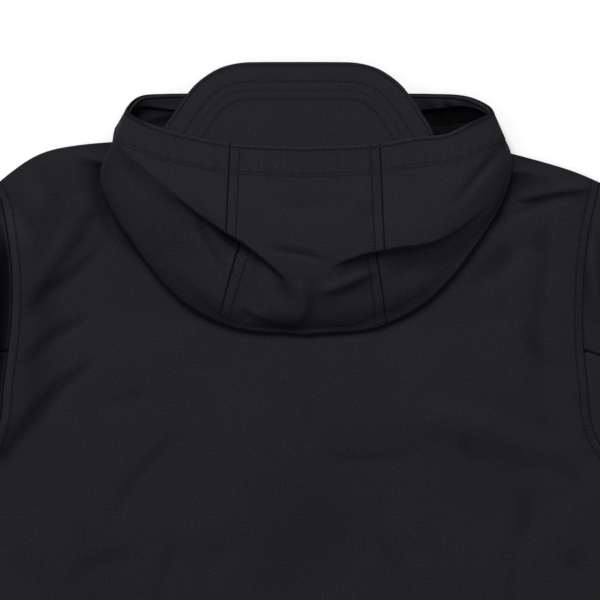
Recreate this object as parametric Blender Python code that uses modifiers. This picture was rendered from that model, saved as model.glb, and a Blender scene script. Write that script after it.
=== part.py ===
"""Hooded softshell jacket, zipped up and laid flat on its front, with the hood turned down on its back.

Units are metres. +Z is up from the surface that the fronts lie on, +Y runs from hem to hood, and +X is
the wearer's right. The pieces are worked out from the point where shoulder and neck meet, and hang on an
empty that brings the middle of the jacket's outline over the origin.
Each cloth piece is a middle surface on a grid, thickened evenly to a wall of the cloth's own thickness.
"""

from collections import namedtuple

import bmesh
import bpy
import numpy as np

# Cloth and seams
WALL = 0.0016
SEAM_GAP = 0.0003
LAYER = WALL + SEAM_GAP

# Body, from the shoulder-neck point
BODY_LENGTH = 0.740
NECK_HALF = 0.104
BACK_NECK_DROP = 0.019
FRONT_NECK_DROP = 0.086
SHOULDER_HALF = 0.2493
SHOULDER_DROP = 0.0405
LEFT_BULGE = 0.0135
RIGHT_BULGE = 0.0045
BACK_LOFT = 0.0033
BACK_NECK_LIFT = 0.0052
FRONT_EDGE = 0.0068
BODY_ROWS = 22
ARMHOLE_ROWS = 14
ARMHOLE_SHARE = 1 - ARMHOLE_ROWS / BODY_ROWS
FRONT_COLUMNS = 13
BACK_COLUMNS = 20

# The side edge of fronts and back: from hem to underarm, then the armhole up to the shoulder
EdgeRow = namedtuple("EdgeRow", "half_width y")
SIDE_SEAM = [
    EdgeRow(0.2780, -BODY_LENGTH),
    EdgeRow(0.2760, -0.510),
    EdgeRow(0.2900, -0.291),
]
ARMHOLE = [
    EdgeRow(0.2900, -0.2910),
    EdgeRow(0.2480, -0.2500),
    EdgeRow(0.2386, -0.1990),
    EdgeRow(0.2353, -0.1500),
    EdgeRow(0.2386, -0.0925),
    EdgeRow(SHOULDER_HALF, -SHOULDER_DROP),
]

# Sleeve, as cross lines from its inner edge to its outer edge. back_seam is the share of the way across.
SleeveRow = namedtuple("SleeveRow", "share inner_x inner_y outer_x outer_y back_seam")
SLEEVE = [
    SleeveRow(0.14, 0.3125, -0.318, 0.3810, -0.1130, 0.50),
    SleeveRow(0.28, 0.335, -0.345, 0.4920, -0.2130, 0.50),
    SleeveRow(0.64, 0.444, -0.475, 0.5745, -0.3655, 0.47),
    SleeveRow(1.00, 0.576, -0.632, 0.6720, -0.5515, 0.44),
]
ARMHOLE_BACK_SEAM = 0.50
BACK_SEAM_HALF = 0.0012
SLEEVE_LOFT = 0.0026
SLEEVE_ROLL = 0.0010
TOP_COLUMNS = 7
TURN_COLUMNS = 4
UPPER_COLUMNS = TOP_COLUMNS + TURN_COLUMNS + ARMHOLE_ROWS

# Hood, as sections from its rim to the neck seam. share runs from the middle of the hood (0) round the
# ear, where the rim turns down to the chin, to the front zip (1). neck runs from the middle of the back
# (-1) over the shoulder (0) to the middle of the front (1).
HoodRow = namedtuple("HoodRow", "share rim_out rim_y rim_z fold_out fold_y fold_z roll neck")
HOOD = [
    HoodRow(0.00, 0.0000, -0.0098, 0.0260, 0.000, -0.1615, 0.0155, 0.0060, -1.000),
    HoodRow(0.20, 0.0610, -0.0066, 0.0260, 0.067, -0.1525, 0.0155, 0.0060, -0.620),
    HoodRow(0.32, 0.0920, -0.0008, 0.0260, 0.105, -0.1296, 0.0153, 0.0060, -0.375),
    HoodRow(0.42, 0.1150, 0.0049, 0.0260, 0.135, -0.0943, 0.0150, 0.0060, -0.210),
    HoodRow(0.50, 0.1300, 0.0107, 0.0260, 0.154, -0.0615, 0.0145, 0.0062, -0.105),
    HoodRow(0.57, 0.1395, 0.0164, 0.0258, 0.164, -0.0287, 0.0140, 0.0066, -0.040),
    HoodRow(0.63, 0.1455, 0.0226, 0.0245, 0.161, -0.0090, 0.0128, 0.0068, 0.000),
    HoodRow(0.69, 0.1415, 0.0279, 0.0175, 0.153, 0.0082, 0.0072, 0.0038, 0.025),
    HoodRow(0.75, 0.1325, 0.0316, 0.0108, 0.135, 0.0120, 0.0018, 0.0006, 0.060),
    HoodRow(0.85, 0.1070, 0.0340, 0.0086, 0.097, -0.0040, 0.0015, 0.0000, 0.220),
    HoodRow(0.93, 0.0600, 0.0349, 0.0080, 0.053, -0.0200, 0.0024, 0.0000, 0.550),
    HoodRow(1.00, FRONT_EDGE, 0.0349, 0.0080, FRONT_EDGE, -0.0255, 0.0044, 0.0000, 0.935),
]
HOOD_SHIFT = 0.007
HOOD_CROWN = 0.0016
HOOD_STAND = 0.0115
STAND_ROLL = 0.0042
RIGHT_EAR_REACH = 0.009
NECK_GAP = 0.0008
CENTRE_SHARE = 0.20
SEAM_SHARE = 0.0009
FACING_SHARE = 0.47
FACING_END = 0.985
FACING_DEPTH = 0.11
FACING_INSET = 0.0026
STRETCH_ROWS = (3, 3, 4, 2, 2, 1, 1, 2, 2)
EVEN = ((0, 1), (0, 1))
DENSE_AT_EAR = ((0, 0.28, 0.80, 1), (0, 0.39, 0.77, 1))
CHIN_RIM = 0.0349
CHIN_RISE = 0.0072
CHIN_SAG = 0.0010

# The two folds in which the turned-down hood sags, as lines across it with the drop below them
FoldRow = namedtuple("FoldRow", "x y drop")
LEFT_FOLD = [
    FoldRow(-0.150, -0.003, 0.0000),
    FoldRow(-0.091, -0.063, 0.0045),
    FoldRow(-0.060, -0.085, 0.0055),
    FoldRow(-0.006, -0.138, 0.0000),
]
RIGHT_FOLD = [
    FoldRow(0.022, -0.121, 0.0000),
    FoldRow(0.066, -0.093, 0.0030),
    FoldRow(0.103, -0.086, 0.0020),
    FoldRow(0.150, -0.075, 0.0000),
]
FOLD_LIP = 0.004
FOLD_REACH = 0.045

# Brim, from its root under the rim to its tip. share runs fast at the root and slowly at the tip, where
# the outline turns over into the flat front edge.
BrimRow = namedtuple("BrimRow", "share half_width")
BRIM = [
    BrimRow(0.000, 0.1112),
    BrimRow(0.081, 0.1078),
    BrimRow(0.191, 0.1004),
    BrimRow(0.337, 0.0912),
    BrimRow(0.439, 0.0850),
    BrimRow(0.594, 0.0737),
    BrimRow(0.735, 0.0629),
    BrimRow(0.860, 0.0515),
    BrimRow(1.000, 0.0370),
]
BRIM_SHIFT = 0.0017
BRIM_TIP_Y = 0.0597
BRIM_TUCK = 0.007
BRIM_DROOP = 0.0035
BRIM_ARCH = 0.0015

# Front zip
TAPE_WALL = 0.0007
TAPE_HALF = 0.0155
CHAIN_HALF = 0.0026
CHAIN_WALL = 0.0013
ZIP_TOP = 0.0300
SLIDER_Y = 0.0200
SLIDER_SIZE = (0.0090, 0.0135, 0.0016)
BRIDGE_SIZE = (0.0024, 0.0100, 0.0022)
BRIDGE_HOLE = (0.0066, 0.0014)

# The outline's middle, seen from the shoulder-neck point
MIDDLE_Y = (BRIM_TIP_Y - BODY_LENGTH) / 2


# Curves and grids


def through(stations, values, at):
    """Values at the places 'at' on a smooth curve through the stations."""
    stations = np.asarray(stations, float)
    values = np.asarray(values, float)
    slopes = np.gradient(values, stations)
    i = np.clip(np.searchsorted(stations, at, side="right") - 1, 0, len(stations) - 2)
    step = stations[i + 1] - stations[i]
    t = (at - stations[i]) / step
    ends = values[i] * (1 + 2 * t) * (1 - t) ** 2 + values[i + 1] * t**2 * (3 - 2 * t)
    return ends + step * (slopes[i] * t * (1 - t) ** 2 + slopes[i + 1] * t**2 * (t - 1))


def ease(low, high, at):
    """0 below low, 1 above high and a smooth rise between them."""
    t = np.clip((at - low) / (high - low), 0, 1)
    return t * t * (3 - 2 * t)


def along(points, t):
    """Points at the share t of smooth curves, each through its own row of control points."""
    steps = np.diff(points, axis=1)
    chord = np.maximum(np.linalg.norm(steps, axis=2, keepdims=True), 1e-6)
    inner = (steps[:, 1:] + steps[:, :-1]) / (chord[:, 1:] + chord[:, :-1])
    tangent = np.concatenate([steps[:, :1] / chord[:, :1], inner, steps[:, -1:] / chord[:, -1:]], axis=1)
    last = points.shape[1] - 1
    place = np.clip(t, 0, 1) * last
    k = np.minimum(place.astype(int), last - 1)
    f = (place - k)[:, None]
    row = np.arange(len(points))
    ends = points[row, k] * (1 + 2 * f) * (1 - f) ** 2 + points[row, k + 1] * f**2 * (3 - 2 * f)
    bend = tangent[row, k] * f * (1 - f) ** 2 + tangent[row, k + 1] * f**2 * (f - 1)
    return ends + chord[row, k] * bend


def stacked(x, y, z):
    return np.stack(np.broadcast_arrays(x, y, z), axis=-1)


def columns(rows, stations, at):
    """Each column of a table as a curve through its stations, read at the places 'at'."""
    table = np.array(rows, float)
    return [through(stations, table[:, k], at) for k in range(table.shape[1])]


def add_object(name, mesh, material):
    obj = bpy.data.objects.new(name, mesh)
    jacket.objects.link(obj)
    obj.parent = neck_point
    mesh.materials.append(material)
    return obj


def cloth(name, surface, across, down, material, wall=WALL):
    """A wall on the middle surface that surface(u, v) gives for shares u and v from 0 to 1."""
    grid = bmesh.new()
    bmesh.ops.create_grid(grid, x_segments=across, y_segments=down, size=0.5)
    shares = np.array([vertex.co.xy for vertex in grid.verts]) + 0.5
    for vertex, place in zip(grid.verts, surface(shares[:, 0], shares[:, 1])):
        vertex.co = place
    mesh = bpy.data.meshes.new(name)
    grid.to_mesh(mesh)
    grid.free()
    obj = add_object(name, mesh, material)
    solidify = obj.modifiers.new("wall", "SOLIDIFY")
    solidify.thickness = wall
    solidify.offset = 0
    return obj


# Body


def neck_y(x, drop):
    """Height of the neckline at a distance x from the middle."""
    return -drop * (1 - np.clip(np.abs(x) / NECK_HALF, 0, 1) ** 2.2)


def neck_edge(x, drop):
    """The same neckline along the straight edges between the panels' grid columns."""
    if drop == FRONT_NECK_DROP:
        stations = np.linspace(FRONT_EDGE, SHOULDER_HALF, FRONT_COLUMNS + 1)
    else:
        stations = np.linspace(0, SHOULDER_HALF, BACK_COLUMNS // 2 + 1)
    return np.interp(x, stations, top_y(stations, drop))


def neck_lift(x):
    """How far the back neck stands above the seam level, over the chin part of the hood."""
    return BACK_NECK_LIFT * (1 - np.clip(np.abs(x) / NECK_HALF, 0, 1) ** 4)


def top_y(x, neck_drop):
    """Height of a body panel's top edge: the neckline, then the shoulder, fuller on the left."""
    share = np.clip((np.abs(x) - NECK_HALF) / (SHOULDER_HALF - NECK_HALF), 0, 1)
    bulge = np.where(x < 0, LEFT_BULGE, RIGHT_BULGE)
    shoulder = -SHOULDER_DROP * share**1.15 + bulge * np.sin(np.pi * share**1.5)
    return np.where(np.abs(x) < NECK_HALF, neck_y(x, neck_drop), shoulder)


def armhole(share):
    """(half width, y) on the armhole, from the underarm (0) to the shoulder (1)."""
    return columns(ARMHOLE, np.linspace(0, 1, len(ARMHOLE)), share)


def side_edge(v):
    """(half width, y) on the side edge, from the hem (0) over the underarm to the shoulder (1)."""
    seam = columns(SIDE_SEAM, np.linspace(0, 1, len(SIDE_SEAM)), np.clip(v / ARMHOLE_SHARE, 0, 1))
    hole = armhole(np.clip((v - ARMHOLE_SHARE) / (1 - ARMHOLE_SHARE), 0, 1))
    low = v < ARMHOLE_SHARE
    return np.where(low, seam[0], hole[0]), np.where(low, seam[1], hole[1])


def body_plan(x_share, v, neck_drop):
    """(x, y) of a body panel at a share of its half width and a share v of the way up."""
    half, y = side_edge(v)
    x_top = x_share * SHOULDER_HALF
    rise = np.clip((v - 0.5) / 0.5, 0, 1) ** 2
    return x_share * half, y + (top_y(x_top, neck_drop) + SHOULDER_DROP) * rise


def back_surface(u, v):
    """The back: on the fronts at its edges, a little above them within, lifted at the neck."""
    x_share = 2 * u - 1
    x, y = body_plan(x_share, v, BACK_NECK_DROP)
    loft = BACK_LOFT * (1 - np.abs(x_share) ** 6) * (1 - v**10)
    lift = neck_lift(x_share * SHOULDER_HALF) * ease(0.72, 1.0, v)
    return stacked(x, y, LAYER + WALL / 2 + loft + lift)


def front_surface(side):
    """A front, flat on the surface, from its zip edge to its side edge."""

    def surface(u, v):
        half, _ = side_edge(v)
        start = FRONT_EDGE / half
        x, y = body_plan(side * (start + (1 - start) * u), v, FRONT_NECK_DROP)
        return stacked(x, y, WALL / 2)

    return surface


# Sleeves


def sleeve_plan(q, v):
    """(x, y) on a right sleeve at the share q from inner to outer edge and v from armhole to cuff."""
    hole_x, hole_y = armhole(q)
    ahead_x, ahead_y = armhole(np.clip(q + 0.01, 0, 1))
    behind_x, behind_y = armhole(np.clip(q - 0.01, 0, 1))
    run = np.hypot(ahead_x - behind_x, ahead_y - behind_y)
    start_x = hole_x + SEAM_GAP * 1.3 * (ahead_y - behind_y) / run
    start_y = hole_y - SEAM_GAP * 1.3 * (ahead_x - behind_x) / run
    points = [stacked(start_x, start_y, 0 * q)]
    for row in SLEEVE:
        x = row.inner_x + (row.outer_x - row.inner_x) * q
        y = row.inner_y + (row.outer_y - row.inner_y) * q
        points.append(stacked(x, y, 0 * q))
    shares = [0] + [row.share for row in SLEEVE]
    place = np.interp(v, shares, np.linspace(0, 1, len(shares)))
    flat = along(np.stack(points, axis=1), place)
    return flat[:, 0], flat[:, 1]


def back_seam(v):
    shares = [0] + [row.share for row in SLEEVE]
    return through(shares, [ARMHOLE_BACK_SEAM] + [row.back_seam for row in SLEEVE], v)


def sleeve_top_z(q, v):
    """Height of the upper layer: on the lower layer at both edges, with a little air between them."""
    air = SLEEVE_LOFT * np.sqrt(np.clip(4 * q * (1 - q), 0, 1)) * ease(0, 0.1, v)
    return LAYER + WALL / 2 + air + SLEEVE_ROLL * ease(0.6, 1.0, q) * ease(0, 0.1, v)


def sleeve_upper_surface(side):
    """From the back-arm seam over the outer edge and along the lower layer to the inner edge."""

    def surface(u, v):
        seam = back_seam(v) + BACK_SEAM_HALF
        column = u * UPPER_COLUMNS
        top = np.clip(column / TOP_COLUMNS, 0, 1)
        turn = np.clip((column - TOP_COLUMNS) / TURN_COLUMNS, 0, 1)
        low = np.clip((column - TOP_COLUMNS - TURN_COLUMNS) / ARMHOLE_ROWS, 0, 1)
        q = np.where(low > 0, 1 - low, seam + (1 - seam) * top)
        x, y = sleeve_plan(q, v)
        z_top = sleeve_top_z(q, v)
        radius = (sleeve_top_z(np.ones_like(v), v) - WALL / 2) / 2
        reach = 1.2 * radius * np.sin(np.pi * turn)
        z = np.where(turn > 0, WALL / 2 + radius * (1 + np.cos(np.pi * turn)), z_top)
        return stacked(side * (x + 0.8 * reach), y + 0.6 * reach, z)

    return surface


def sleeve_under_surface(side):
    """The strip of the upper layer from the inner edge to the back-arm seam."""

    def surface(u, v):
        q = (back_seam(v) - BACK_SEAM_HALF) * u
        x, y = sleeve_plan(q, v)
        return stacked(side * x, y, sleeve_top_z(q, v))

    return surface


# Hood


def hood_sections(side, share):
    """Control points, from rim to neck seam, of the hood's sections at the given shares."""
    table = np.array(HOOD)
    row = HoodRow(*columns(HOOD, table[:, 0], share))
    reach = RIGHT_EAR_REACH * np.exp(-(((row.share - 0.61) / 0.12) ** 2)) * (side > 0)
    shift = HOOD_SHIFT * ease(1.0, 0.5, row.share)
    rim = stacked(side * (row.rim_out + reach) + shift, row.rim_y, row.rim_z)
    fold = stacked(side * row.fold_out + shift, row.fold_y, row.fold_z)
    out = NECK_HALF * (1 - np.abs(row.neck))
    behind = ease(0.03, -0.03, row.neck)
    back_z = LAYER + WALL / 2 + neck_lift(out)
    seam_y = np.where(row.neck < 0, neck_edge(out, BACK_NECK_DROP), neck_edge(out, FRONT_NECK_DROP))
    neck = stacked(side * out, seam_y + NECK_GAP, WALL / 2 + behind * (back_z - WALL / 2))
    slope = CHIN_RISE / (CHIN_RIM + FRONT_NECK_DROP)
    stand_z = behind * STAND_ROLL / 2 + (1 - behind) * slope * HOOD_STAND
    stand = neck + stacked(0 * out, HOOD_STAND + 0 * out, stand_z)
    turned = neck + stacked(0 * out, 0.55 * HOOD_STAND + 0 * out, STAND_ROLL + 0 * out)
    straight = stand + 0.25 * (fold - stand)
    over = behind[:, None] * turned + (1 - behind[:, None]) * straight
    roll = row.roll[:, None]
    up = np.array([0, 0, 1])
    rim_way = (rim - fold) / np.linalg.norm(rim - fold, axis=1, keepdims=True)
    neck_way = (over - fold) / np.linalg.norm(over - fold, axis=1, keepdims=True)
    spread = np.maximum(roll, 0.003)
    before = fold + spread * rim_way * [1, 1, 0] + 0.9 * roll * up
    after = fold + spread * neck_way * [1, 1, 0] - 0.9 * roll * up
    flat_before = fold + 0.15 * (rim - fold)
    flat_after = fold + 0.15 * (over - fold)
    turn = np.clip(roll / 0.005, 0, 1)
    chin_sag = CHIN_SAG * ease(0.68, 0.76, share) * ease(1.0, 0.9, share)
    chin_sag = chin_sag[:, None]
    before = turn * before + (1 - turn) * flat_before
    after = turn * after + (1 - turn) * flat_after
    crown = (HOOD_CROWN * turn - chin_sag) * up
    high = rim + 0.36 * (before - rim) + crown
    mid = rim + 0.72 * (before - rim) + crown
    under = 0.5 * (after + over)
    return np.stack([rim, high, mid, before, fold, after, under, over, stand, neck], axis=1)


def sag(points, rows, weight):
    """Lowers the hood's upper layer below a fold line, most right under its lip."""
    line = np.array(rows)
    x = points[:, 0] - HOOD_SHIFT
    inside = (x > line[0, 0]) & (x < line[-1, 0])
    lip_y = through(line[:, 0], line[:, 1], x)
    drop = np.maximum(through(line[:, 0], line[:, 2], x), 0) * inside
    below = lip_y - points[:, 1]
    share = ease(-FOLD_LIP, FOLD_LIP, below) * np.exp(-np.maximum(below, 0) / FOLD_REACH)
    points[:, 2] -= drop * share * weight


def hood_point(signed, t):
    """Points of the hood at signed shares round it and shares t of the way from rim to neck seam."""
    points = np.empty((len(t), 3))
    for side in (-1, 1):
        chosen = (signed > 0) == (side > 0)
        if chosen.any():
            points[chosen] = along(hood_sections(side, np.abs(signed[chosen])), t[chosen])
    upper = ease(0.40, 0.33, t)
    sag(points, LEFT_FOLD, upper)
    sag(points, RIGHT_FOLD, upper)
    return points


def section_share(v):
    """Spaces a panel's grid rows so that each stretch of its sections gets its own number of rows."""
    row_counts = np.cumsum((0, *STRETCH_ROWS))
    shares = np.linspace(0, 1, len(row_counts))
    return np.interp(v * row_counts[-1], row_counts, shares)


def hood_panel(low, high, stations):
    """A hood panel between two signed shares, from the rim to the neck seam."""

    def surface(u, v):
        return hood_point(low + (high - low) * np.interp(u, *stations), section_share(v))

    return surface


def hood_facing(side):
    """The band turned in along the rim, on the panel's points moved inwards."""

    def surface(u, v):
        signed = side * (FACING_SHARE + (FACING_END - FACING_SHARE) * u)
        t = FACING_DEPTH * v
        step = 1e-3
        round_rim = hood_point(signed + step, t) - hood_point(signed - step, t)
        to_neck = hood_point(signed, t + step) - hood_point(signed, np.maximum(t - step, 0))
        inward = np.cross(round_rim, to_neck)
        inward /= np.linalg.norm(inward, axis=1, keepdims=True)
        return hood_point(signed, t) + FACING_INSET * inward

    return surface


def rim_line(x):
    """(y, z) of the hood's rim over the forehead at the place x."""
    table = np.array(HOOD)[:6]
    out = np.abs(x - HOOD_SHIFT)
    return through(table[:, 1], table[:, 2], out), through(table[:, 1], table[:, 3], out)


def brim_surface(layers_down):
    """A ply of the brim, from under the hood's rim to the tip."""

    def surface(u, v):
        table = np.array(BRIM)
        half = through(table[:, 0], table[:, 1], v)
        x = BRIM_SHIFT + (2 * u - 1) * half
        root_x = BRIM_SHIFT + (2 * u - 1) * BRIM[0].half_width
        rim_y, rim_z = rim_line(root_x)
        root_y = rim_y - BRIM_TUCK
        way = v * (2 - v)
        y = root_y + (BRIM_TIP_Y - root_y) * way
        arch = BRIM_ARCH * (1 - (2 * u - 1) ** 2) * way
        return stacked(x, y, rim_z - layers_down * LAYER - BRIM_DROOP * way**2 + arch)

    return surface


# Zip


def front_z(y):
    """Height of the middle surface beside the zip: flat below the neck, rising in the chin part."""
    share = np.clip((y + FRONT_NECK_DROP) / (CHIN_RIM + FRONT_NECK_DROP), 0, 1)
    return WALL / 2 + CHIN_RISE * share


def zip_strip(inner, outer, height):
    """A strip beside the zip's middle line, at a height over the fronts' middle surface."""

    def surface(u, v):
        x = inner + (outer - inner) * u
        y = -BODY_LENGTH + (BODY_LENGTH + ZIP_TOP) * v
        return stacked(x, y, front_z(y) + height)

    return surface


def box(name, size, place, material):
    shape = bmesh.new()
    bmesh.ops.create_cube(shape, size=1.0)
    bmesh.ops.scale(shape, vec=size, verts=shape.verts)
    mesh = bpy.data.meshes.new(name)
    shape.to_mesh(mesh)
    shape.free()
    obj = add_object(name, mesh, material)
    obj.location = place
    return obj


def combine(obj, other, operation):
    """Adds another object to this one, or cuts it out, and takes the other away."""
    boolean = obj.modifiers.new(operation.lower(), "BOOLEAN")
    boolean.operation = operation
    boolean.solver = "EXACT"
    boolean.object = other
    bpy.context.view_layer.update()
    depsgraph = bpy.context.evaluated_depsgraph_get()
    mesh = bpy.data.meshes.new_from_object(obj.evaluated_get(depsgraph))
    obj.modifiers.clear()
    obj.data = mesh
    bpy.data.objects.remove(other)


def zip_slider(material):
    """A plate under the chain, with the arched bridge that a pull hangs from."""
    width, length, wall = SLIDER_SIZE
    chain_low = float(front_z(np.array(SLIDER_Y - length / 2))) + WALL / 2 - CHAIN_WALL
    top = chain_low - SEAM_GAP
    slider = box("zip_slider", (width, length, wall), (0, SLIDER_Y, top - wall / 2), material)
    bridge_width, bridge_length, bridge_rise = BRIDGE_SIZE
    bridge_place = (0, SLIDER_Y, top - wall - bridge_rise / 2)
    bridge = box("bridge", (bridge_width, bridge_length, bridge_rise + 0.0004), bridge_place, material)
    combine(slider, bridge, "UNION")
    hole_length, hole_rise = BRIDGE_HOLE
    hole_place = (0, SLIDER_Y, top - wall - hole_rise / 2)
    hole = box("hole", (2 * width, hole_length, hole_rise), hole_place, material)
    combine(slider, hole, "DIFFERENCE")
    bevel = slider.modifiers.new("rounded edges", "BEVEL")
    bevel.width = 0.0003
    bevel.segments = 1
    bevel.limit_method = "ANGLE"


def finish(name, colour, roughness, metallic=0.0):
    material = bpy.data.materials.new(name)
    material.use_nodes = True
    shader = material.node_tree.nodes["Principled BSDF"]
    shader.inputs["Base Color"].default_value = (*colour, 1)
    shader.inputs["Roughness"].default_value = roughness
    shader.inputs["Metallic"].default_value = metallic
    material.diffuse_color = (*colour, 1)
    return material


# Build

for old in list(bpy.data.objects):
    bpy.data.objects.remove(old)
jacket = bpy.data.collections.new("hooded_jacket")
bpy.context.scene.collection.children.link(jacket)
neck_point = bpy.data.objects.new("neck_point", None)
neck_point.location = (0, -MIDDLE_Y, 0)
jacket.objects.link(neck_point)

softshell = finish("softshell", (0.017, 0.016, 0.020), 0.85)
inside_cloth = finish("softshell_inside", (0.012, 0.012, 0.014), 0.9)
zip_tape = finish("zip_tape", (0.012, 0.012, 0.013), 0.8)
coil = finish("zip_coil", (0.015, 0.015, 0.016), 0.45)
slider_paint = finish("slider_paint", (0.02, 0.02, 0.022), 0.4, 0.6)

cloth("back", back_surface, BACK_COLUMNS, BODY_ROWS, softshell)
for side, word in ((-1, "left"), (1, "right")):
    cloth(f"front_{word}", front_surface(side), FRONT_COLUMNS, BODY_ROWS, softshell)
    cloth(f"sleeve_upper_{word}", sleeve_upper_surface(side), UPPER_COLUMNS, 10, softshell)
    cloth(f"sleeve_under_{word}", sleeve_under_surface(side), TOP_COLUMNS, 10, softshell)
    edge = side * (CENTRE_SHARE + SEAM_SHARE)
    cloth(f"hood_side_{word}", hood_panel(edge, side, DENSE_AT_EAR), 21, sum(STRETCH_ROWS), softshell)
    cloth(f"hood_facing_{word}", hood_facing(side), 20, 2, inside_cloth)
    tape = zip_strip(side * SEAM_GAP, side * TAPE_HALF, WALL / 2 + SEAM_GAP + TAPE_WALL / 2)
    cloth(f"zip_tape_{word}", tape, 1, 14, zip_tape, TAPE_WALL)
inner_edge = CENTRE_SHARE - SEAM_SHARE
cloth("hood_centre", hood_panel(-inner_edge, inner_edge, EVEN), 8, sum(STRETCH_ROWS), softshell)
cloth("hood_brim_upper", brim_surface(1), 12, 8, softshell)
cloth("hood_brim_under", brim_surface(2.2), 12, 8, softshell)
chain_height = WALL / 2 - CHAIN_WALL / 2
cloth("zip_chain", zip_strip(-CHAIN_HALF, CHAIN_HALF, chain_height), 1, 14, coil, CHAIN_WALL)
zip_slider(slider_paint)
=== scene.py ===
# %% [markdown]
# # A hooded softshell jacket, laid on its front
# The jacket lies face down on a pale table, and the camera looks straight down at its back. The packed
# CAD model gives the place and size of every piece. Each cloth piece is worked out again here on a much
# finer grid, from the same sizes, and gets the folds, seams and stitches that a CAD wall leaves out.

# %% Load the fixed frame
from collections import namedtuple

import bpy
import numpy as np
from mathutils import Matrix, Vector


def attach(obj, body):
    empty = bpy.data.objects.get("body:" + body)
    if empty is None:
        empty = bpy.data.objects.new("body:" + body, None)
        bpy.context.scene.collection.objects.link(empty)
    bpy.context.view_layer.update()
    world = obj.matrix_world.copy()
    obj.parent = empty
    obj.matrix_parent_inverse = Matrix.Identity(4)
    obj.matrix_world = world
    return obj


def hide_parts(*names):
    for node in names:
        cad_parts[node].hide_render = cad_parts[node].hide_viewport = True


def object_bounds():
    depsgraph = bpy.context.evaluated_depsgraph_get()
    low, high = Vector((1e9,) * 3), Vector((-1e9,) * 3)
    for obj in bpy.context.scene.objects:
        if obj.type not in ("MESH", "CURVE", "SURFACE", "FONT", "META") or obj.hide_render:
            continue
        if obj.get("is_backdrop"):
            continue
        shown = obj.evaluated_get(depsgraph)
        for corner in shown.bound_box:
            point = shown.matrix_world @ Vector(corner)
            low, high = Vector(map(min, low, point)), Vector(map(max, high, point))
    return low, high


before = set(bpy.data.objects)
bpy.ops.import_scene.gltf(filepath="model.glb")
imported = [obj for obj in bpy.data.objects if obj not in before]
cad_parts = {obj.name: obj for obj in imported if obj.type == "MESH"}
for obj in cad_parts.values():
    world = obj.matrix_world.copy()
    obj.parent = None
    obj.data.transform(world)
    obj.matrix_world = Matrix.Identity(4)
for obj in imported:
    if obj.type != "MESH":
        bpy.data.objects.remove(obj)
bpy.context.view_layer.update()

# %% [markdown]
# ## Curves
# A cutter draws a garment from a few measured points joined by smooth lines. The same is done here: a
# short table gives the points, and a cubic curve through them gives every place between. numpy works on
# whole arrays, so one call places thousands of grid points.

# %% Smooth curves through a few points
MM = 0.001


def through(stations, values, at):
    """Cubic Hermite curve: between two stations the value follows both end values and both slopes."""
    stations = np.asarray(stations, float)
    values = np.asarray(values, float)
    slopes = np.gradient(values, stations)
    i = np.clip(np.searchsorted(stations, at, side="right") - 1, 0, len(stations) - 2)
    step = stations[i + 1] - stations[i]
    t = (at - stations[i]) / step
    ends = values[i] * (1 + 2 * t) * (1 - t) ** 2 + values[i + 1] * t**2 * (3 - 2 * t)
    return ends + step * (slopes[i] * t * (1 - t) ** 2 + slopes[i + 1] * t**2 * (t - 1))


def ease(low, high, at):
    """0 below low, 1 above high, and between them 3 t squared less 2 t cubed."""
    t = np.clip((at - low) / (high - low), 0, 1)
    return t * t * (3 - 2 * t)


def window(at, low, full, fade, end):
    """1 from full to fade, and 0 below low and above end."""
    return ease(low, full, at) * ease(end, fade, at)


def bell(offset, width):
    """1 in the middle, falling off as exp(-(offset / width) squared)."""
    return np.exp(-((offset / width) ** 2))


def along(points, t):
    """The same cubic in space: one curve for each row of control points, read at the share t of its way."""
    steps = np.diff(points, axis=1)
    chord = np.maximum(np.linalg.norm(steps, axis=2, keepdims=True), 1e-6)
    inner = (steps[:, 1:] + steps[:, :-1]) / (chord[:, 1:] + chord[:, :-1])
    tangent = np.concatenate([steps[:, :1] / chord[:, :1], inner, steps[:, -1:] / chord[:, -1:]], axis=1)
    last = points.shape[1] - 1
    place = np.clip(t, 0, 1) * last
    k = np.minimum(place.astype(int), last - 1)
    f = (place - k)[:, None]
    row = np.arange(len(points))
    ends = points[row, k] * (1 + 2 * f) * (1 - f) ** 2 + points[row, k + 1] * f**2 * (3 - 2 * f)
    bend = tangent[row, k] * f * (1 - f) ** 2 + tangent[row, k + 1] * f**2 * (f - 1)
    return ends + chord[row, k] * bend


def stacked(x, y, z):
    """Points from three fields."""
    return np.stack(np.broadcast_arrays(x, y, z), axis=-1)


def pair(u, v):
    """One map from two fields of a grid."""
    return np.stack([u, v], axis=-1)


def spans(*parts):
    """Evenly spread values over neighbouring spans, each given as (low, high, count)."""
    return np.concatenate([np.linspace(*parts[0])] + [np.linspace(*part)[1:] for part in parts[1:]])


def edged(count, *near):
    """Shares from -1 to 1, with close ones added at both ends."""
    return np.sort(np.concatenate([np.linspace(-1, 1, count), near, -np.array(near)]))


def columns(rows, stations, at):
    """Each column of a table as a curve through its stations."""
    table = np.array(rows, float)
    return [through(stations, table[:, k], at) for k in range(table.shape[1])]


# %% [markdown]
# ## Lines on the cloth
# Folds, seams and stitch rows all follow lines. For every grid point the nearest place on such a line is
# found, with the distance to it. The sign of the distance says on which side of the line the point lies,
# so a fold can fall away on one side only.

# %% Distance from a line
def drawn(rows, samples=90):
    """A smooth line through rows of x, y and weight, in millimetres, as samples in metres, evenly spread
    by chord."""
    table = np.array(rows, float)
    table[:, :2] *= MM
    run = np.concatenate([[0], np.cumsum(np.linalg.norm(np.diff(table[:, :2], axis=0), axis=1))])
    at = np.linspace(0, run[-1], samples)
    return np.stack([through(run, table[:, k], at) for k in range(table.shape[1])], axis=1)


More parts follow.
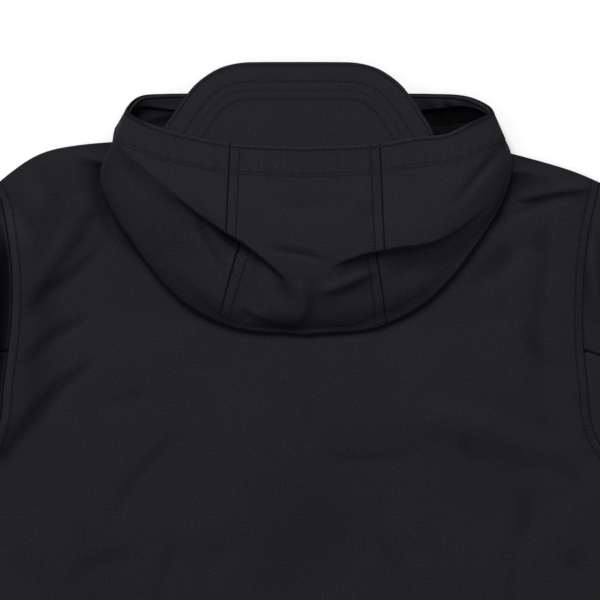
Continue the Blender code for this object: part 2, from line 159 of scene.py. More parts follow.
def nearest(line, x, y):
    """(distance, weight, normal x, normal y): distance is positive to the right of the line's direction."""
    start = line[:-1, :2]
    step = np.diff(line[:, :2], axis=0)
    t = (x[:, None] - start[:, 0]) * step[:, 0] + (y[:, None] - start[:, 1]) * step[:, 1]
    t = np.clip(t / (step**2).sum(1), 0, 1)
    off_x = x[:, None] - start[:, 0] - t * step[:, 0]
    off_y = y[:, None] - start[:, 1] - t * step[:, 1]
    k = (off_x**2 + off_y**2).argmin(1)
    row = np.arange(len(x))
    way = step[k] / np.linalg.norm(step[k], axis=1, keepdims=True)
    off_x, off_y, t = off_x[row, k], off_y[row, k], t[row, k]
    side = np.where(way[:, 0] * off_y - way[:, 1] * off_x > 0, -1, 1)
    weight = line[k, 2] + t * (line[k + 1, 2] - line[k, 2])
    return side * np.hypot(off_x, off_y), np.maximum(weight, 0), way[:, 1], -way[:, 0]


# %% [markdown]
# ## Folds and creases
# A crease is a soft trough: cloth sinks along a line and rises again on both sides. A fold is more: the
# cloth swells, turns over a lip, runs back under itself and comes out lower down. That hidden stretch is
# why a seam that crosses a fold goes on a little to one side. Both are moves of the grid points.

# %% Creases and folds as moves of points
Crease = namedtuple("Crease", "depth width line")
Fold = namedtuple("Fold", "rise run drop fall reach hidden line")
LIP_ROUND = 1.2 * MM
PULL_OVER = 5 * MM


def soft(depth, width, *line):
    """A crease from its sizes and the rows of its line. A negative depth makes a ridge."""
    return Crease(depth, width, line)


def crease(points, rows, weight=1.0):
    """Lowers points by depth times exp(-(distance / width) squared), fading with the line's weight."""
    for row in rows:
        distance, share, _, _ = nearest(drawn(row.line), points[:, 0], points[:, 1])
        points[:, 2] -= row.depth * MM * share * weight * bell(distance, row.width * MM)


def fold(points, rows, weight=1.0):
    """Raises the cloth towards a lip by rise times exp(-(distance / run) squared). Beyond the lip it falls
    by rise and drop, steeply at first, as 1 - exp(-distance / fall), and comes back over reach. What lies
    beyond is pulled under the lip by hidden."""
    for row in rows:
        distance, share, out_x, out_y = nearest(drawn(row.line), points[:, 0], points[:, 1])
        share = share * weight * MM
        beyond = np.maximum(distance, 0)
        gone = 1 - np.exp(-(np.hypot(beyond, LIP_ROUND) - LIP_ROUND) / (row.fall * MM))
        back_up = np.exp(-beyond / (row.reach * MM))
        before = bell(np.minimum(distance, 0), row.run * MM)
        points[:, 2] += share * (row.rise * before * (1 - gone) - row.drop * gone * back_up)
        pull = share * row.hidden * ease(0, PULL_OVER, distance) * back_up
        points[:, 0] -= pull * out_x
        points[:, 1] -= pull * out_y


def pucker(along, distance, spread, height):
    """Small uneven waves along a row of stitches, three sines about 9, 14 and 22 mm long, that fade with
    exp(-(distance from the row / spread) squared)."""
    waves = np.sin(690 * along + 0.7) + 0.8 * np.sin(450 * along + 2.1) + 0.7 * np.sin(285 * along + 4.4)
    return height * waves * bell(distance, spread)


# %% [markdown]
# ## From grid to cloth
# A grid of points becomes a mesh of quads, and Solidify gives it the thickness of the cloth. Three UV maps
# go with it. The first, in metres, is for the weave. The second holds the distance to the seam and to the
# edge, so that a material can draw a stitch groove at an exact distance, finer than the grid itself. The
# third holds painted shade: how far a point lies in a fold, beside the hood or in an ear, where little
# light comes, so that the colour is darker there.

# %% Make a cloth piece
WALL = 1.6 * MM
SEAM_GAP = 0.3 * MM
LAYER = WALL + SEAM_GAP
NECK_POINT = np.array([0, 340.15, 0]) * MM
SIDES = ((-1, "left"), (1, "right"))
grids = {}
HOLLOW_PASSES = 24
HOLLOW_DEPTH = 1.5 * MM


def arc(points, axis):
    """Length run along the grid lines of an axis, from its first point."""
    steps = np.linalg.norm(np.diff(points, axis=axis), axis=-1)
    start = np.zeros_like(np.take(points[..., 0], [0], axis=axis))
    return np.concatenate([start, np.cumsum(steps, axis=axis)], axis=axis)


def weave_map(points):
    """UV in metres: the run along the columns, from the middle, and the run along the rows."""
    across = arc(points, 1)
    return pair(across - across[:, [across.shape[1] // 2]], arc(points, 0))


def fold_shade_of(points):
    """Painted shade of folds, 0 to 1, from how deep a point lies in a fold: the mean height of its
    neighbours, taken again and again to widen it, less its own height h, as 1 - exp(-h / HOLLOW_DEPTH)."""
    mean = points[..., 2]
    for _ in range(HOLLOW_PASSES):
        wide = np.pad(mean, 1, mode="edge")
        mean = (wide[:-2, 1:-1] + wide[2:, 1:-1] + wide[1:-1, :-2] + wide[1:-1, 2:]) / 4
    return 1 - np.exp(-np.maximum(mean - points[..., 2], 0) / HOLLOW_DEPTH)


def grid_mesh(name, points, maps):
    """Quads between neighbours of a (rows, columns, 3) grid, with UV layers of the same grid."""
    rows, cols = points.shape[:2]
    index = np.arange(rows * cols).reshape(rows, cols)
    corners = [index[:-1, :-1], index[:-1, 1:], index[1:, 1:], index[1:, :-1]]
    quads = np.stack(corners, axis=-1).reshape(-1, 4)
    mesh = bpy.data.meshes.new(name)
    mesh.vertices.add(rows * cols)
    mesh.vertices.foreach_set("co", (points + NECK_POINT).astype(np.float32).ravel())
    mesh.loops.add(quads.size)
    mesh.loops.foreach_set("vertex_index", quads.astype(np.int32).ravel())
    mesh.polygons.add(len(quads))
    mesh.polygons.foreach_set("loop_start", np.arange(0, quads.size, 4, dtype=np.int32))
    mesh.polygons.foreach_set("use_smooth", np.ones(len(quads), bool))
    mesh.update(calc_edges=True)
    for title, values in maps.items():
        layer = mesh.uv_layers.new(name=title)
        flat = values.reshape(-1, 2)[quads.ravel()]
        layer.uv.foreach_set("vector", flat.astype(np.float32).ravel())
    return mesh


def show(name, data):
    """A new object in the scene."""
    shown = bpy.data.objects.new(name, data)
    bpy.context.scene.collection.objects.link(shown)
    return shown


def sew(node, points, seams, material, flat_from=None, lining_side=None, hollow=None, wall=WALL):
    """A cloth piece that stands for a CAD node, with its weave map from its own flat cut. With a lining
    side the grid's own faces get that material, and the faces that Solidify adds get the outer one. The
    grid is kept for the stitches."""
    flat_from = points if flat_from is None else flat_from
    # The painted shade map comes from the depth of the folds unless it is given.
    hollow = fold_shade_of(points) if hollow is None else hollow
    maps = {"weave": weave_map(flat_from), "seams": seams, "hollow": pair(hollow, hollow)}
    mesh = grid_mesh(f"{node}_cloth", points, maps)
    if lining_side is not None:
        mesh.materials.append(lining_side)
    mesh.materials.append(material)
    piece = show(f"{node}_cloth", mesh)
    solidify = piece.modifiers.new("cloth wall", "SOLIDIFY")
    solidify.thickness = wall
    solidify.offset = 0
    solidify.material_offset = len(mesh.materials) - 1
    solidify.material_offset_rim = len(mesh.materials) - 1
    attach(piece, "root")
    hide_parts(node)
    grids[node] = (points, seams)


# %% [markdown]
# ## The finish: softshell
# Softshell is a close woven face on a soft backing: matt, nearly black, with a faint mottle and a fine
# twill. Three effects repeat in several materials, so each is a node group: the twill, the mottle and
# the groove that a row of stitches presses into the cloth.

# %% Node helpers
def group(name, inputs, outputs):
    """A shader node group with named sockets. Each input is (type, name, default)."""
    tree = bpy.data.node_groups.new(name, "ShaderNodeTree")
    for kind, title, default in inputs:
        socket = tree.interface.new_socket(title, in_out="INPUT", socket_type=f"NodeSocket{kind}")
        if default is not None:
            socket.default_value = default
    for kind, title in outputs:
        tree.interface.new_socket(title, in_out="OUTPUT", socket_type=f"NodeSocket{kind}")
    return tree, tree.nodes.new("NodeGroupInput"), tree.nodes.new("NodeGroupOutput")


def feed(tree, placed, inputs):
    """Sets or links the inputs of a node, by the names or numbers of its sockets."""
    for title, value in inputs.items():
        if isinstance(value, bpy.types.NodeSocket):
            tree.links.new(value, placed.inputs[title])
        else:
            placed.inputs[title].default_value = value


def math(tree, operation, *values):
    """A Math node fed by numbers or sockets."""
    placed = tree.nodes.new("ShaderNodeMath")
    placed.operation = operation
    feed(tree, placed, dict(enumerate(values)))
    return placed.outputs[0]


def shader_node(tree, kind, inputs):
    """The outputs of a new shader node with the given inputs."""
    placed = tree.nodes.new(f"ShaderNode{kind}")
    feed(tree, placed, inputs)
    return placed.outputs


def place_group(tree, kind, inputs):
    """The outputs of a node group with the given inputs."""
    placed = tree.nodes.new("ShaderNodeGroup")
    placed.node_tree = kind
    feed(tree, placed, inputs)
    return placed.outputs


def uv_map(tree, title):
    """A UV map of the piece."""
    reader = tree.nodes.new("ShaderNodeUVMap")
    reader.uv_map = title
    return reader.outputs["UV"]


def axes(tree, vector):
    """X, Y and Z of a vector."""
    return shader_node(tree, "SeparateXYZ", {"Vector": vector})


def new_material(name, colour):
    """(material, its node tree, its shader)."""
    material = bpy.data.materials.new(name)
    material.use_nodes = True
    material.diffuse_color = (*colour, 1)
    return material, material.node_tree, material.node_tree.nodes["Principled BSDF"]


def tint(tree, shader, colour, shade):
    """Base colour = colour times shade."""
    mixed = tree.nodes.new("ShaderNodeMix")
    mixed.data_type = "RGBA"
    mixed.blend_type = "MULTIPLY"
    feed(tree, mixed, {"Factor": 1.0, "A": (*colour, 1), "B": shade})
    tree.links.new(mixed.outputs["Result"], shader.inputs["Base Color"])


# %% Node group: twill
def twill_group():
    """Height = sine of the diagonal run, weakened by a slower sine across it. Threads are 0.75 mm apart."""
    tree, inside, outside = group(
        "twill",
        [("Vector", "Cloth", None), ("Float", "Threads per metre", 1300.0)],
        [("Float", "Height")],
    )
    cloth = axes(tree, inside.outputs["Cloth"])
    turns = math(tree, "MULTIPLY", inside.outputs["Threads per metre"], 2 * np.pi)
    diagonal = math(tree, "ADD", cloth["X"], cloth["Y"])
    weft = math(tree, "SINE", math(tree, "MULTIPLY", diagonal, turns))
    slower = math(tree, "MULTIPLY", math(tree, "SUBTRACT", cloth["X"], cloth["Y"]), turns)
    warp = math(tree, "SINE", math(tree, "MULTIPLY", slower, 0.5))
    height = math(tree, "ADD", weft, math(tree, "MULTIPLY", warp, 0.6))
    tree.links.new(height, outside.inputs["Height"])
    return tree


twill = twill_group()


# %% Node group: mottle
def mottle_group():
    """Two noises, one a millimetre wide and one four centimetres wide, as shares round 1."""
    tree, inside, outside = group(
        "mottle",
        [("Vector", "Cloth", None), ("Float", "Fine", 0.9), ("Float", "Broad", 0.15)],
        [("Float", "Shade"), ("Float", "Grain")],
    )
    shade = 1.0
    grain = None
    for size, amount in ((480.0, "Fine"), (26.0, "Broad")):
        inputs = {"Scale": size, "Detail": 2.5, "Vector": inside.outputs["Cloth"]}
        noise = shader_node(tree, "TexNoise", inputs)
        centred = math(tree, "SUBTRACT", noise["Fac"], 0.5)
        swing = math(tree, "MULTIPLY", centred, inside.outputs[amount])
        shade = math(tree, "ADD", shade, swing)
        grain = noise["Fac"] if grain is None else grain
    tree.links.new(shade, outside.inputs["Shade"])
    tree.links.new(grain, outside.inputs["Grain"])
    return tree


mottle = mottle_group()


# %% Node group: groove
def groove_group():
    """Dent = shade times exp(-((distance - row) / width) squared), a soft groove at an exact distance."""
    tree, inside, outside = group(
        "groove",
        [
            ("Float", "Distance", 0.0),
            ("Float", "Row", 0.0078),
            ("Float", "Width", 0.0008),
            ("Float", "Shade", 0.7),
        ],
        [("Float", "Dent")],
    )
    off = math(tree, "SUBTRACT", inside.outputs["Distance"], inside.outputs["Row"])
    scaled = math(tree, "DIVIDE", off, inside.outputs["Width"])
    squared = math(tree, "MULTIPLY", scaled, scaled)
    round_dent = math(tree, "EXPONENT", math(tree, "MULTIPLY", squared, -1.0))
    tree.links.new(math(tree, "MULTIPLY", round_dent, inside.outputs["Shade"]), outside.inputs["Dent"])
    return tree


groove = groove_group()
print("node groups:", [tree.name for tree in bpy.data.node_groups])

# %% [markdown]
# ## Materials from the groups
# Every softshell material is the same shader with its own rows of stitch grooves. The seams map gives
# the distance to the side seam in U and the distance to the edge in V, so a row is named by the map's
# axis and its distance. Colour darkens a little in a groove, as painted shade of the groove.

# %% Softshell materials
Groove = namedtuple("Groove", "distance width shade")
SOFTSHELL = (0.0156, 0.0148, 0.0191)
INSIDE = (0.0155, 0.0152, 0.0192)
# Painted shade: the hood's inner face is darker than the shell, for the shade inside the ears.
SHADED_INSIDE = (0.0100, 0.0106, 0.0132)
TAPE = (0.010, 0.010, 0.011)
PAINTED_SHADE_STRENGTH = 0.62
TWILL_HEIGHT = 0.00004
TAPE_TWILL_HEIGHT = 0.00008
GRAIN_HEIGHT = 0.00012
GROOVE_DEPTH = 0.0008
CLOTH_SHINE = {"Specular IOR Level": 0.02, "Sheen Weight": 0.02, "Sheen Roughness": 0.45}


def softshell(name, colour, side_rows=(), edge_rows=(), roughness=0.78, twill_height=TWILL_HEIGHT):
    """A matt woven cloth with stitch grooves at the given distances from its side seam and its edge."""
    material, tree, shader = new_material(name, colour)
    cloth = {"Cloth": uv_map(tree, "weave")}
    threads, mottled = place_group(tree, twill, cloth), place_group(tree, mottle, cloth)
    seams = axes(tree, uv_map(tree, "seams"))
    dent = None
    for axis, row in [("X", row) for row in side_rows] + [("Y", row) for row in edge_rows]:
        inputs = {"Distance": seams[axis], "Row": row.distance, "Width": row.width, "Shade": row.shade}
        dented = place_group(tree, groove, inputs)["Dent"]
        dent = dented if dent is None else math(tree, "MAXIMUM", dent, dented)
    height = math(tree, "MULTIPLY", threads["Height"], twill_height)
    height = math(tree, "ADD", height, math(tree, "MULTIPLY", mottled["Grain"], GRAIN_HEIGHT))
    # Painted shade: the third UV map darkens the colour in folds, beside the hood and in the ears.
    depth = axes(tree, uv_map(tree, "hollow"))["X"]
    kept = math(tree, "MULTIPLY_ADD", depth, -PAINTED_SHADE_STRENGTH, 1.0)
    shade = math(tree, "MULTIPLY", mottled["Shade"], kept)
    # The groove lowers the bump and also darkens the colour, as painted shade of the groove.
    if dent is not None:
        height = math(tree, "SUBTRACT", height, math(tree, "MULTIPLY", dent, GROOVE_DEPTH))
        shade = math(tree, "MULTIPLY", shade, math(tree, "SUBTRACT", 1.0, dent))
    tint(tree, shader, colour, shade)
    bump = shader_node(tree, "Bump", {"Distance": 1.0, "Height": height})
    rough = math(tree, "MULTIPLY_ADD", mottled["Grain"], 0.12, roughness - 0.06)
    feed(tree, shader, {"Normal": bump["Normal"], "Roughness": rough, **CLOTH_SHINE})
    return material


TOPSTITCH = 7.8 * MM
RIM_STITCH = 2.6 * MM
CHANNEL_STITCHES = (21.2 * MM, 23.8 * MM)
ARMHOLE_STITCH = 6.6 * MM
HEM_STITCH = 22.0 * MM
ZIP_STITCH = 7.0 * MM
BRIM_STITCHES = (2.4 * MM, 15.8 * MM, 23.2 * MM, 29.8 * MM)
BRIM_GROOVES = (0.7, 0.5, 0.25, 0.5)
THREAD_GROOVE = 0.58 * MM


def stitched(*distances):
    """Grooves as wide as a thread."""
    return [Groove(distance, THREAD_GROOVE, 0.8) for distance in distances]


SEAM_LINE = Groove(0.1 * MM, 0.45 * MM, 0.8)
CHANNEL = [Groove(distance, 0.6 * MM, 0.4) for distance in CHANNEL_STITCHES]
hood_grooves = stitched(RIM_STITCH) + CHANNEL
centre_rows = stitched(TOPSTITCH) + [SEAM_LINE]
back_rows = stitched(ARMHOLE_STITCH) + [SEAM_LINE]
hood_centre_cloth = softshell("softshell hood centre", SOFTSHELL, centre_rows, hood_grooves)
hood_side_cloth = softshell("softshell hood side", SOFTSHELL, [SEAM_LINE], hood_grooves)
brim_rows = [Groove(at, THREAD_GROOVE, depth) for at, depth in zip(BRIM_STITCHES, BRIM_GROOVES)]
brim_cloth = softshell("softshell brim", SOFTSHELL, brim_rows)
back_cloth = softshell("softshell back", SOFTSHELL, back_rows, stitched(HEM_STITCH))
front_cloth = softshell("softshell front", SOFTSHELL, stitched(ZIP_STITCH), stitched(HEM_STITCH))
sleeve_cloth = softshell("softshell sleeve", SOFTSHELL, [SEAM_LINE], stitched(HEM_STITCH))
shaded_inside_cloth = softshell("softshell inside", SHADED_INSIDE)
facing_cloth = softshell("softshell facing", INSIDE, (), stitched(RIM_STITCH))
tape_cloth = softshell("zip tape", TAPE, (), (), 0.8, TAPE_TWILL_HEIGHT)
print("materials:", len(bpy.data.materials))

# %% [markdown]
# ## Hood
# The hood is three panels: a centre strip and two sides. Turned down on the back it is a flattened bag:
# from the rim the cloth runs down to a rolled edge, turns under, and goes up inside to the neck seam.
# Sections from rim to neck seam, spread round the head opening, describe all of it. The share 0 is the
# middle of the hood, 0.63 the ear, and 1 the front zip under the chin.

# %% Hood sizes
NECK_HALF = 104.0 * MM
BACK_NECK_DROP = 19.0 * MM
FRONT_NECK_DROP = 86.0 * MM
SHOULDER_HALF = 249.3 * MM
SHOULDER_DROP = 40.5 * MM
LEFT_BULGE = 13.5 * MM
RIGHT_BULGE = 4.5 * MM
BACK_NECK_LIFT = 5.2 * MM
FRONT_EDGE = 6.8 * MM
CHIN_RIM = 34.9 * MM
HOOD_SHIFT = 7.0 * MM
HOOD_CROWN = 1.6 * MM
HOOD_STAND = 11.5 * MM
STAND_ROLL = 4.2 * MM
NECK_GAP = 0.8 * MM
CENTRE_SHARE = 0.20
SEAM_SHARE = 0.0009
CHIN_RISE = 7.2 * MM
CHIN_SAG = 1.0 * MM

Local = namedtuple("Local", "size share width")
RIGHT_EAR_REACH = Local(10.0 * MM, 0.64, 0.13)
EAR_LEAN = Local(5.0 * MM, 0.63, 0.05)
FULLER_SIDES = Local(4.0 * MM, 0.545, 0.07)
RIGHT_RIM_SAG = Local(3.8 * MM, 0.42, 0.075)

HoodRow = namedtuple("HoodRow", "share rim_out rim_y rim_z fold_out fold_y fold_z roll neck")
HOOD = [
    HoodRow(0.00, 0.0000, -0.0098, 0.0260, 0.000, -0.1615, 0.0155, 0.0060, -1.000),
    HoodRow(0.20, 0.0610, -0.0066, 0.0260, 0.067, -0.1525, 0.0155, 0.0060, -0.620),
    HoodRow(0.32, 0.0920, -0.0008, 0.0260, 0.105, -0.1296, 0.0153, 0.0060, -0.375),
    HoodRow(0.42, 0.1150, 0.0049, 0.0260, 0.135, -0.0943, 0.0150, 0.0060, -0.210),
    HoodRow(0.50, 0.1300, 0.0107, 0.0260, 0.154, -0.0615, 0.0145, 0.0062, -0.105),
    HoodRow(0.57, 0.1385, 0.0150, 0.0258, 0.164, -0.0287, 0.0140, 0.0066, -0.040),
    HoodRow(0.63, 0.1437, 0.0198, 0.0245, 0.161, -0.0090, 0.0128, 0.0068, 0.000),
    HoodRow(0.69, 0.1405, 0.0264, 0.0175, 0.153, 0.0082, 0.0072, 0.0038, 0.025),
    HoodRow(0.75, 0.1325, 0.0324, 0.0108, 0.135, 0.0120, 0.0018, 0.0006, 0.060),
    HoodRow(0.85, 0.1070, 0.0349, 0.0086, 0.097, -0.0040, 0.0015, 0.0000, 0.220),
    HoodRow(0.93, 0.0600, 0.0352, 0.0080, 0.053, -0.0200, 0.0024, 0.0000, 0.550),
    HoodRow(1.00, FRONT_EDGE, 0.0349, 0.0080, FRONT_EDGE, -0.0255, 0.0044, 0.0000, 0.935),
]


# %% Neckline and hood sections
def neck_y(x, drop):
    """Neckline: the drop at the middle, fading with the 2.2nd power of the share of the half width."""
    return -drop * (1 - np.clip(np.abs(x) / NECK_HALF, 0, 1) ** 2.2)


def neck_lift(x):
    """How far the back neck stands up, flat in the middle and falling with the 4th power outwards."""
    return BACK_NECK_LIFT * (1 - np.clip(np.abs(x) / NECK_HALF, 0, 1) ** 4)


def local(part, share):
    """A change of the hood's outline that is full at one share round it and fades on both sides."""
    return part.size * bell(share - part.share, part.width)


def hood_sections(side, share):
    """Ten control points for each section: rim, crown, rolled edge, under side, stand, neck seam."""
    table = np.array(HOOD)
    row = HoodRow(*columns(HOOD, table[:, 0], share))
    reach = local(RIGHT_EAR_REACH, row.share) * (side > 0)
    sag = local(RIGHT_RIM_SAG, row.share) * (side > 0)
    shift = HOOD_SHIFT * ease(1.0, 0.5, row.share)
    fold_x = side * (row.fold_out + local(FULLER_SIDES, row.share)) + shift + local(EAR_LEAN, row.share)
    rim = stacked(side * (row.rim_out + reach) + shift, row.rim_y - sag, row.rim_z)
    edge = stacked(fold_x, row.fold_y, row.fold_z)
    out = NECK_HALF * (1 - np.abs(row.neck))
    behind = ease(0.03, -0.03, row.neck)
    back_z = LAYER + WALL / 2 + neck_lift(out)
    seam_y = np.where(row.neck < 0, neck_y(out, BACK_NECK_DROP), neck_y(out, FRONT_NECK_DROP))
    neck = stacked(side * out, seam_y + NECK_GAP, WALL / 2 + behind * (back_z - WALL / 2))
    slope = CHIN_RISE / (CHIN_RIM + FRONT_NECK_DROP)
    stand_z = behind * STAND_ROLL / 2 + (1 - behind) * slope * HOOD_STAND
    stand = neck + stacked(0 * out, HOOD_STAND + 0 * out, stand_z)
    turned = neck + stacked(0 * out, 0.55 * HOOD_STAND + 0 * out, STAND_ROLL + 0 * out)
    straight = stand + 0.25 * (edge - stand)
    over = behind[:, None] * turned + (1 - behind[:, None]) * straight
    roll = row.roll[:, None]
    up = np.array([0, 0, 1])
    rim_way = (rim - edge) / np.linalg.norm(rim - edge, axis=1, keepdims=True)
    neck_way = (over - edge) / np.linalg.norm(over - edge, axis=1, keepdims=True)
    spread = np.maximum(roll, 3 * MM)
    turn = np.clip(roll / (5 * MM), 0, 1)
    before = turn * (edge + spread * rim_way * [1, 1, 0] + 0.9 * roll * up)
    before += (1 - turn) * (edge + 0.15 * (rim - edge))
    after = turn * (edge + spread * neck_way * [1, 1, 0] - 0.9 * roll * up)
    after += (1 - turn) * (edge + 0.15 * (over - edge))
    chin_sag = (CHIN_SAG * window(share, 0.68, 0.76, 0.9, 1.0))[:, None]
    crown = (HOOD_CROWN * turn - chin_sag) * up
    high = rim + 0.36 * (before - rim) + crown
    mid = rim + 0.72 * (before - rim) + crown
    under = 0.5 * (after + over)
    return np.stack([rim, high, mid, before, edge, after, under, over, stand, neck], axis=1)


def hood_point(signed, t):
    """Points of the plain hood at signed shares round it and shares t from rim to neck seam."""
    points = np.empty((len(t), 3))
    for side in (-1, 1):
        chosen = (signed > 0) == (side > 0)
        if chosen.any():
            points[chosen] = along(hood_sections(side, np.abs(signed[chosen])), t[chosen])
    return points


# %% [markdown]
# ## The hood's folds
# The bag of the hood sags in a V. On the left a long lip runs from the ear to the middle of the lower
# edge and hides a finger's width of cloth. On the right a shorter, sharper lip starts near the seam and
# fades towards the ear. Smaller creases lie between them. Each is a line in millimetres from the point
# where shoulder and neck meet, with a weight that fades it at its ends.

# %% Fold tables of the hood
HOOD_FOLDS = [
    Fold(rise=2.2, run=34, drop=5.6, fall=7.5, reach=90, hidden=0, line=[
        (-152, 4, 0), (-138, -12, 0.8), (-118, -30, 1), (-99, -46, 0.9), (-81, -62, 0.6),
        (-61, -76, 0.3), (-40, -90, 0)]),
    Fold(rise=3.2, run=46, drop=7.6, fall=6.5, reach=60, hidden=0, line=[
        (-112, -36, 0), (-96, -49, 0.35), (-81, -62, 0.8), (-70, -73, 1), (-61, -76, 1), (-38, -91, 1),
        (-18, -107, 0.9), (-4, -120, 0.65), (6, -136, 0)]),
    Fold(rise=0, run=20, drop=0, fall=8, reach=46, hidden=24, line=[
        (-98, -47, 0), (-81, -62, 0.45), (-61, -76, 1), (-38, -91, 0.8), (-18, -107, 0.35),
        (-6, -118, 0)]),
    Fold(rise=2.6, run=40, drop=7, fall=9, reach=80, hidden=8, line=[
        (26, -107, 0), (40, -101, 0.7), (54, -96, 1), (68, -93, 1), (85, -90, 1), (110, -86, 0.65),
        (136, -71, 0.3), (158, -52, 0)]),
    Fold(rise=2.6, run=6, drop=4.2, fall=2.8, reach=20, hidden=0, line=[
        (16, -127, 0), (26, -125.5, 0.8), (37, -122, 1), (49, -116.5, 1), (66, -109, 0)]),
    Fold(rise=3.6, run=14, drop=4.6, fall=3.2, reach=20, hidden=0, line=[
        (-48, -136, 0), (-36, -143, 0.7), (-18, -150, 1), (-3, -152, 1), (4, -147, 1), (6, -138, 0.8),
        (5, -128, 0.5), (2, -118, 0)]),
]

CHIN_FOLDS = [
    Fold(rise=1, run=4, drop=3, fall=3, reach=16, hidden=0, line=[
        (-130, 12, 0), (-122, 14.5, 0.8), (-111, 17.5, 1), (-98, 20.5, 1), (-84, 23, 0.6)]),
    Fold(rise=1.4, run=4, drop=4, fall=3, reach=14, hidden=0, line=[
        (104, 34, 0.4), (113, 28, 1), (118, 22, 1), (124, 15, 0.4)]),
    Fold(rise=1.4, run=4, drop=3.6, fall=3, reach=12, hidden=0, line=[
        (122, 31, 0.3), (127, 28, 1), (136, 22, 0.9), (142, 16, 0.2)]),
]

SLIDE_OVER = 4 * MM
Slide = namedtuple("Slide", "fold x width near far reach")
SLIDES = [
    Slide(fold=1, x=-52, width=26, near=8, far=-6, reach=62),
    Slide(fold=3, x=72, width=24, near=-7, far=-1, reach=46),
]


def slide(points, weight):
    """Moves the cloth below a lip sideways, by near at the lip and by far at reach, within width of x."""
    for row in SLIDES:
        line = drawn(HOOD_FOLDS[row.fold].line)
        distance, _, _, _ = nearest(line, points[:, 0], points[:, 1])
        share = np.clip(distance / (row.reach * MM), 0, 1)
        shift = (row.near * (1 - share) + row.far * share) * MM * ease(0, SLIDE_OVER, distance) * weight
        points[:, 0] += shift * bell(points[:, 0] - row.x * MM, row.width * MM)


HOOD_CREASES = [
    soft(6.2, 7.5, (-82, -62, 0.4), (-75, -74, 1), (-66, -90, 0.9), (-58, -116, 0)),
    soft(-3, 9, (-40, -108, 0), (-28, -124, 1), (-14, -140, 0.9), (-4, -152, 0)),
    soft(1.8, 3.2, (-27, -91, 0), (-7, -94, 1), (12, -98, 0.8), (30, -103, 0)),
    soft(-1.6, 11, (-10, -120, 0), (12, -128, 1), (38, -130, 0.9), (64, -124, 0)),
    soft(3, 4.5, (170, -6, 0.5), (154, -25, 1), (136, -46, 0.7), (122, -62, 0)),
    soft(2.6, 12, (76, -112, 0), (104, -112, 1), (130, -96, 1), (152, -72, 0)),
    soft(1.1, 6, (-148, -8, 0), (-136, -30, 1), (-118, -56, 0)),
    soft(-1.3, 2.4, (-150, -4, 0), (-153, -12, 1), (-158, -26, 0.8), (-161, -33, 0)),
    soft(0.9, 8, (-30, -52, 0), (8, -56, 1), (52, -50, 0)),
    soft(0.8, 7, (40, -68, 0), (62, -62, 1), (70, -50, 0)),
    soft(0.9, 8, (-120, -76, 0), (-92, -106, 1), (-60, -128, 0)),
    soft(1.2, 8, (112, -92, 0), (94, -112, 1), (66, -134, 0)),
]

LOWER_CREASES = [
    soft(2.8, 5.5, (-84, -66, 0), (-77, -77, 0.9), (-70, -89, 1), (-62, -106, 0.5), (-56, -120, 0)),
    soft(2.8, 11, (-50, -146, 0), (-26, -158, 0.6), (4, -160, 1), (40, -158, 1), (84, -140, 0)),
    soft(0.7, 8, (96, -124, 0), (120, -108, 1), (146, -82, 0)),
    soft(-1.7, 8, (-152, -60, 0), (-133, -90, 1), (-101, -122, 1), (-76, -140, 0)),
]

# %% Hood grids
RIM_ROWS = np.array([0, 0.3, 0.6, 1.0, 1.5, 2.2, 3.0])
RIM_SHARE = 54
STRETCH_ROWS = (42, 44, 38, 14, 12, 12, 12, 10, 6)
RIM_CURL = 0.9 * MM
CREST = 5.4 * MM
EDGE_SETTLE = 0.55
EDGE_LOW = 9.5 * MM
EDGE_DROP = 0.9 * MM
# Strengths of painted shade at the rolled lower edge, deep inside the right ear and along the rim at the
# ears; the left cheek share is for the settling.
EDGE_SHADE = 0.7
DEEP_EAR_SHADE = 1.2
LEFT_CHEEK = 0.6
EAR_SHADE = 0.8


def section_rows():
    """Shares t down a section: a few close rows at the rim, then each stretch with its own row count."""
    share = [RIM_ROWS / RIM_SHARE / len(STRETCH_ROWS)]
    for k, count in enumerate(STRETCH_ROWS):
        low = RIM_ROWS[-1] / RIM_SHARE if k == 0 else 0
        share.append((k + np.linspace(low, 1, count + 1)[1:]) / len(STRETCH_ROWS))
    return np.concatenate(share)


def hood_panel(shares):
    """(plain grid, folded grid, hollow) of the panel over the given signed shares."""
    t = section_rows()
    signed, down = np.meshgrid(shares, t)
    plain = hood_point(signed.ravel(), down.ravel())
    rim_run = arc(plain.reshape(len(t), -1, 3), 0).ravel()
    around, down = np.abs(signed.ravel()), down.ravel()
    upper = ease(0.42, 0.34, down) * ease(0.74, 0.66, around)
    folded = plain.copy()
    crest = np.sin(np.pi * np.clip(3 * down, 0, 1) ** 1.4) ** 1.2 * ease(0.62, 0.36, around)
    folded[:, 2] += CREST * crest
    crease(folded, HOOD_CREASES, upper)
    slide(folded, upper)
    fold(folded, HOOD_FOLDS, upper)
    fold(folded, CHIN_FOLDS, ease(0.68, 0.73, around))
    settled = np.clip((down - 0.15) / 0.235, 0, 1) ** 2 * ease(0.62, 0.50, down) * ease(0.64, 0.52, around)
    settled *= 1 - LEFT_CHEEK * ease(-0.16, -0.30, signed.ravel())
    folded[:, 2] -= settled * (EDGE_SETTLE * np.maximum(folded[:, 2] - EDGE_LOW, 0) + EDGE_DROP)
    crease(folded, LOWER_CREASES, upper)
    folded[:, 2] += upper * pucker(folded[:, 0], rim_run - CHANNEL_STITCHES[0], 7 * MM, 0.16 * MM)
    folded[:, 2] += upper * pucker(folded[:, 0] + 0.31, rim_run - RIM_STITCH, 4 * MM, 0.09 * MM)
    folded[:, 2] = np.maximum(folded[:, 2], WALL / 2)
    curl = np.clip(1 - rim_run / RIM_CURL, 0, 1)
    folded[:, 2] -= RIM_CURL * (1 - np.sqrt(1 - curl**2)) * 0.9
    shape = (len(t), len(shares), 3)
    plain, folded = plain.reshape(shape), folded.reshape(shape)
    return plain, folded, hood_painted_shade(folded, t[:, None], shares)


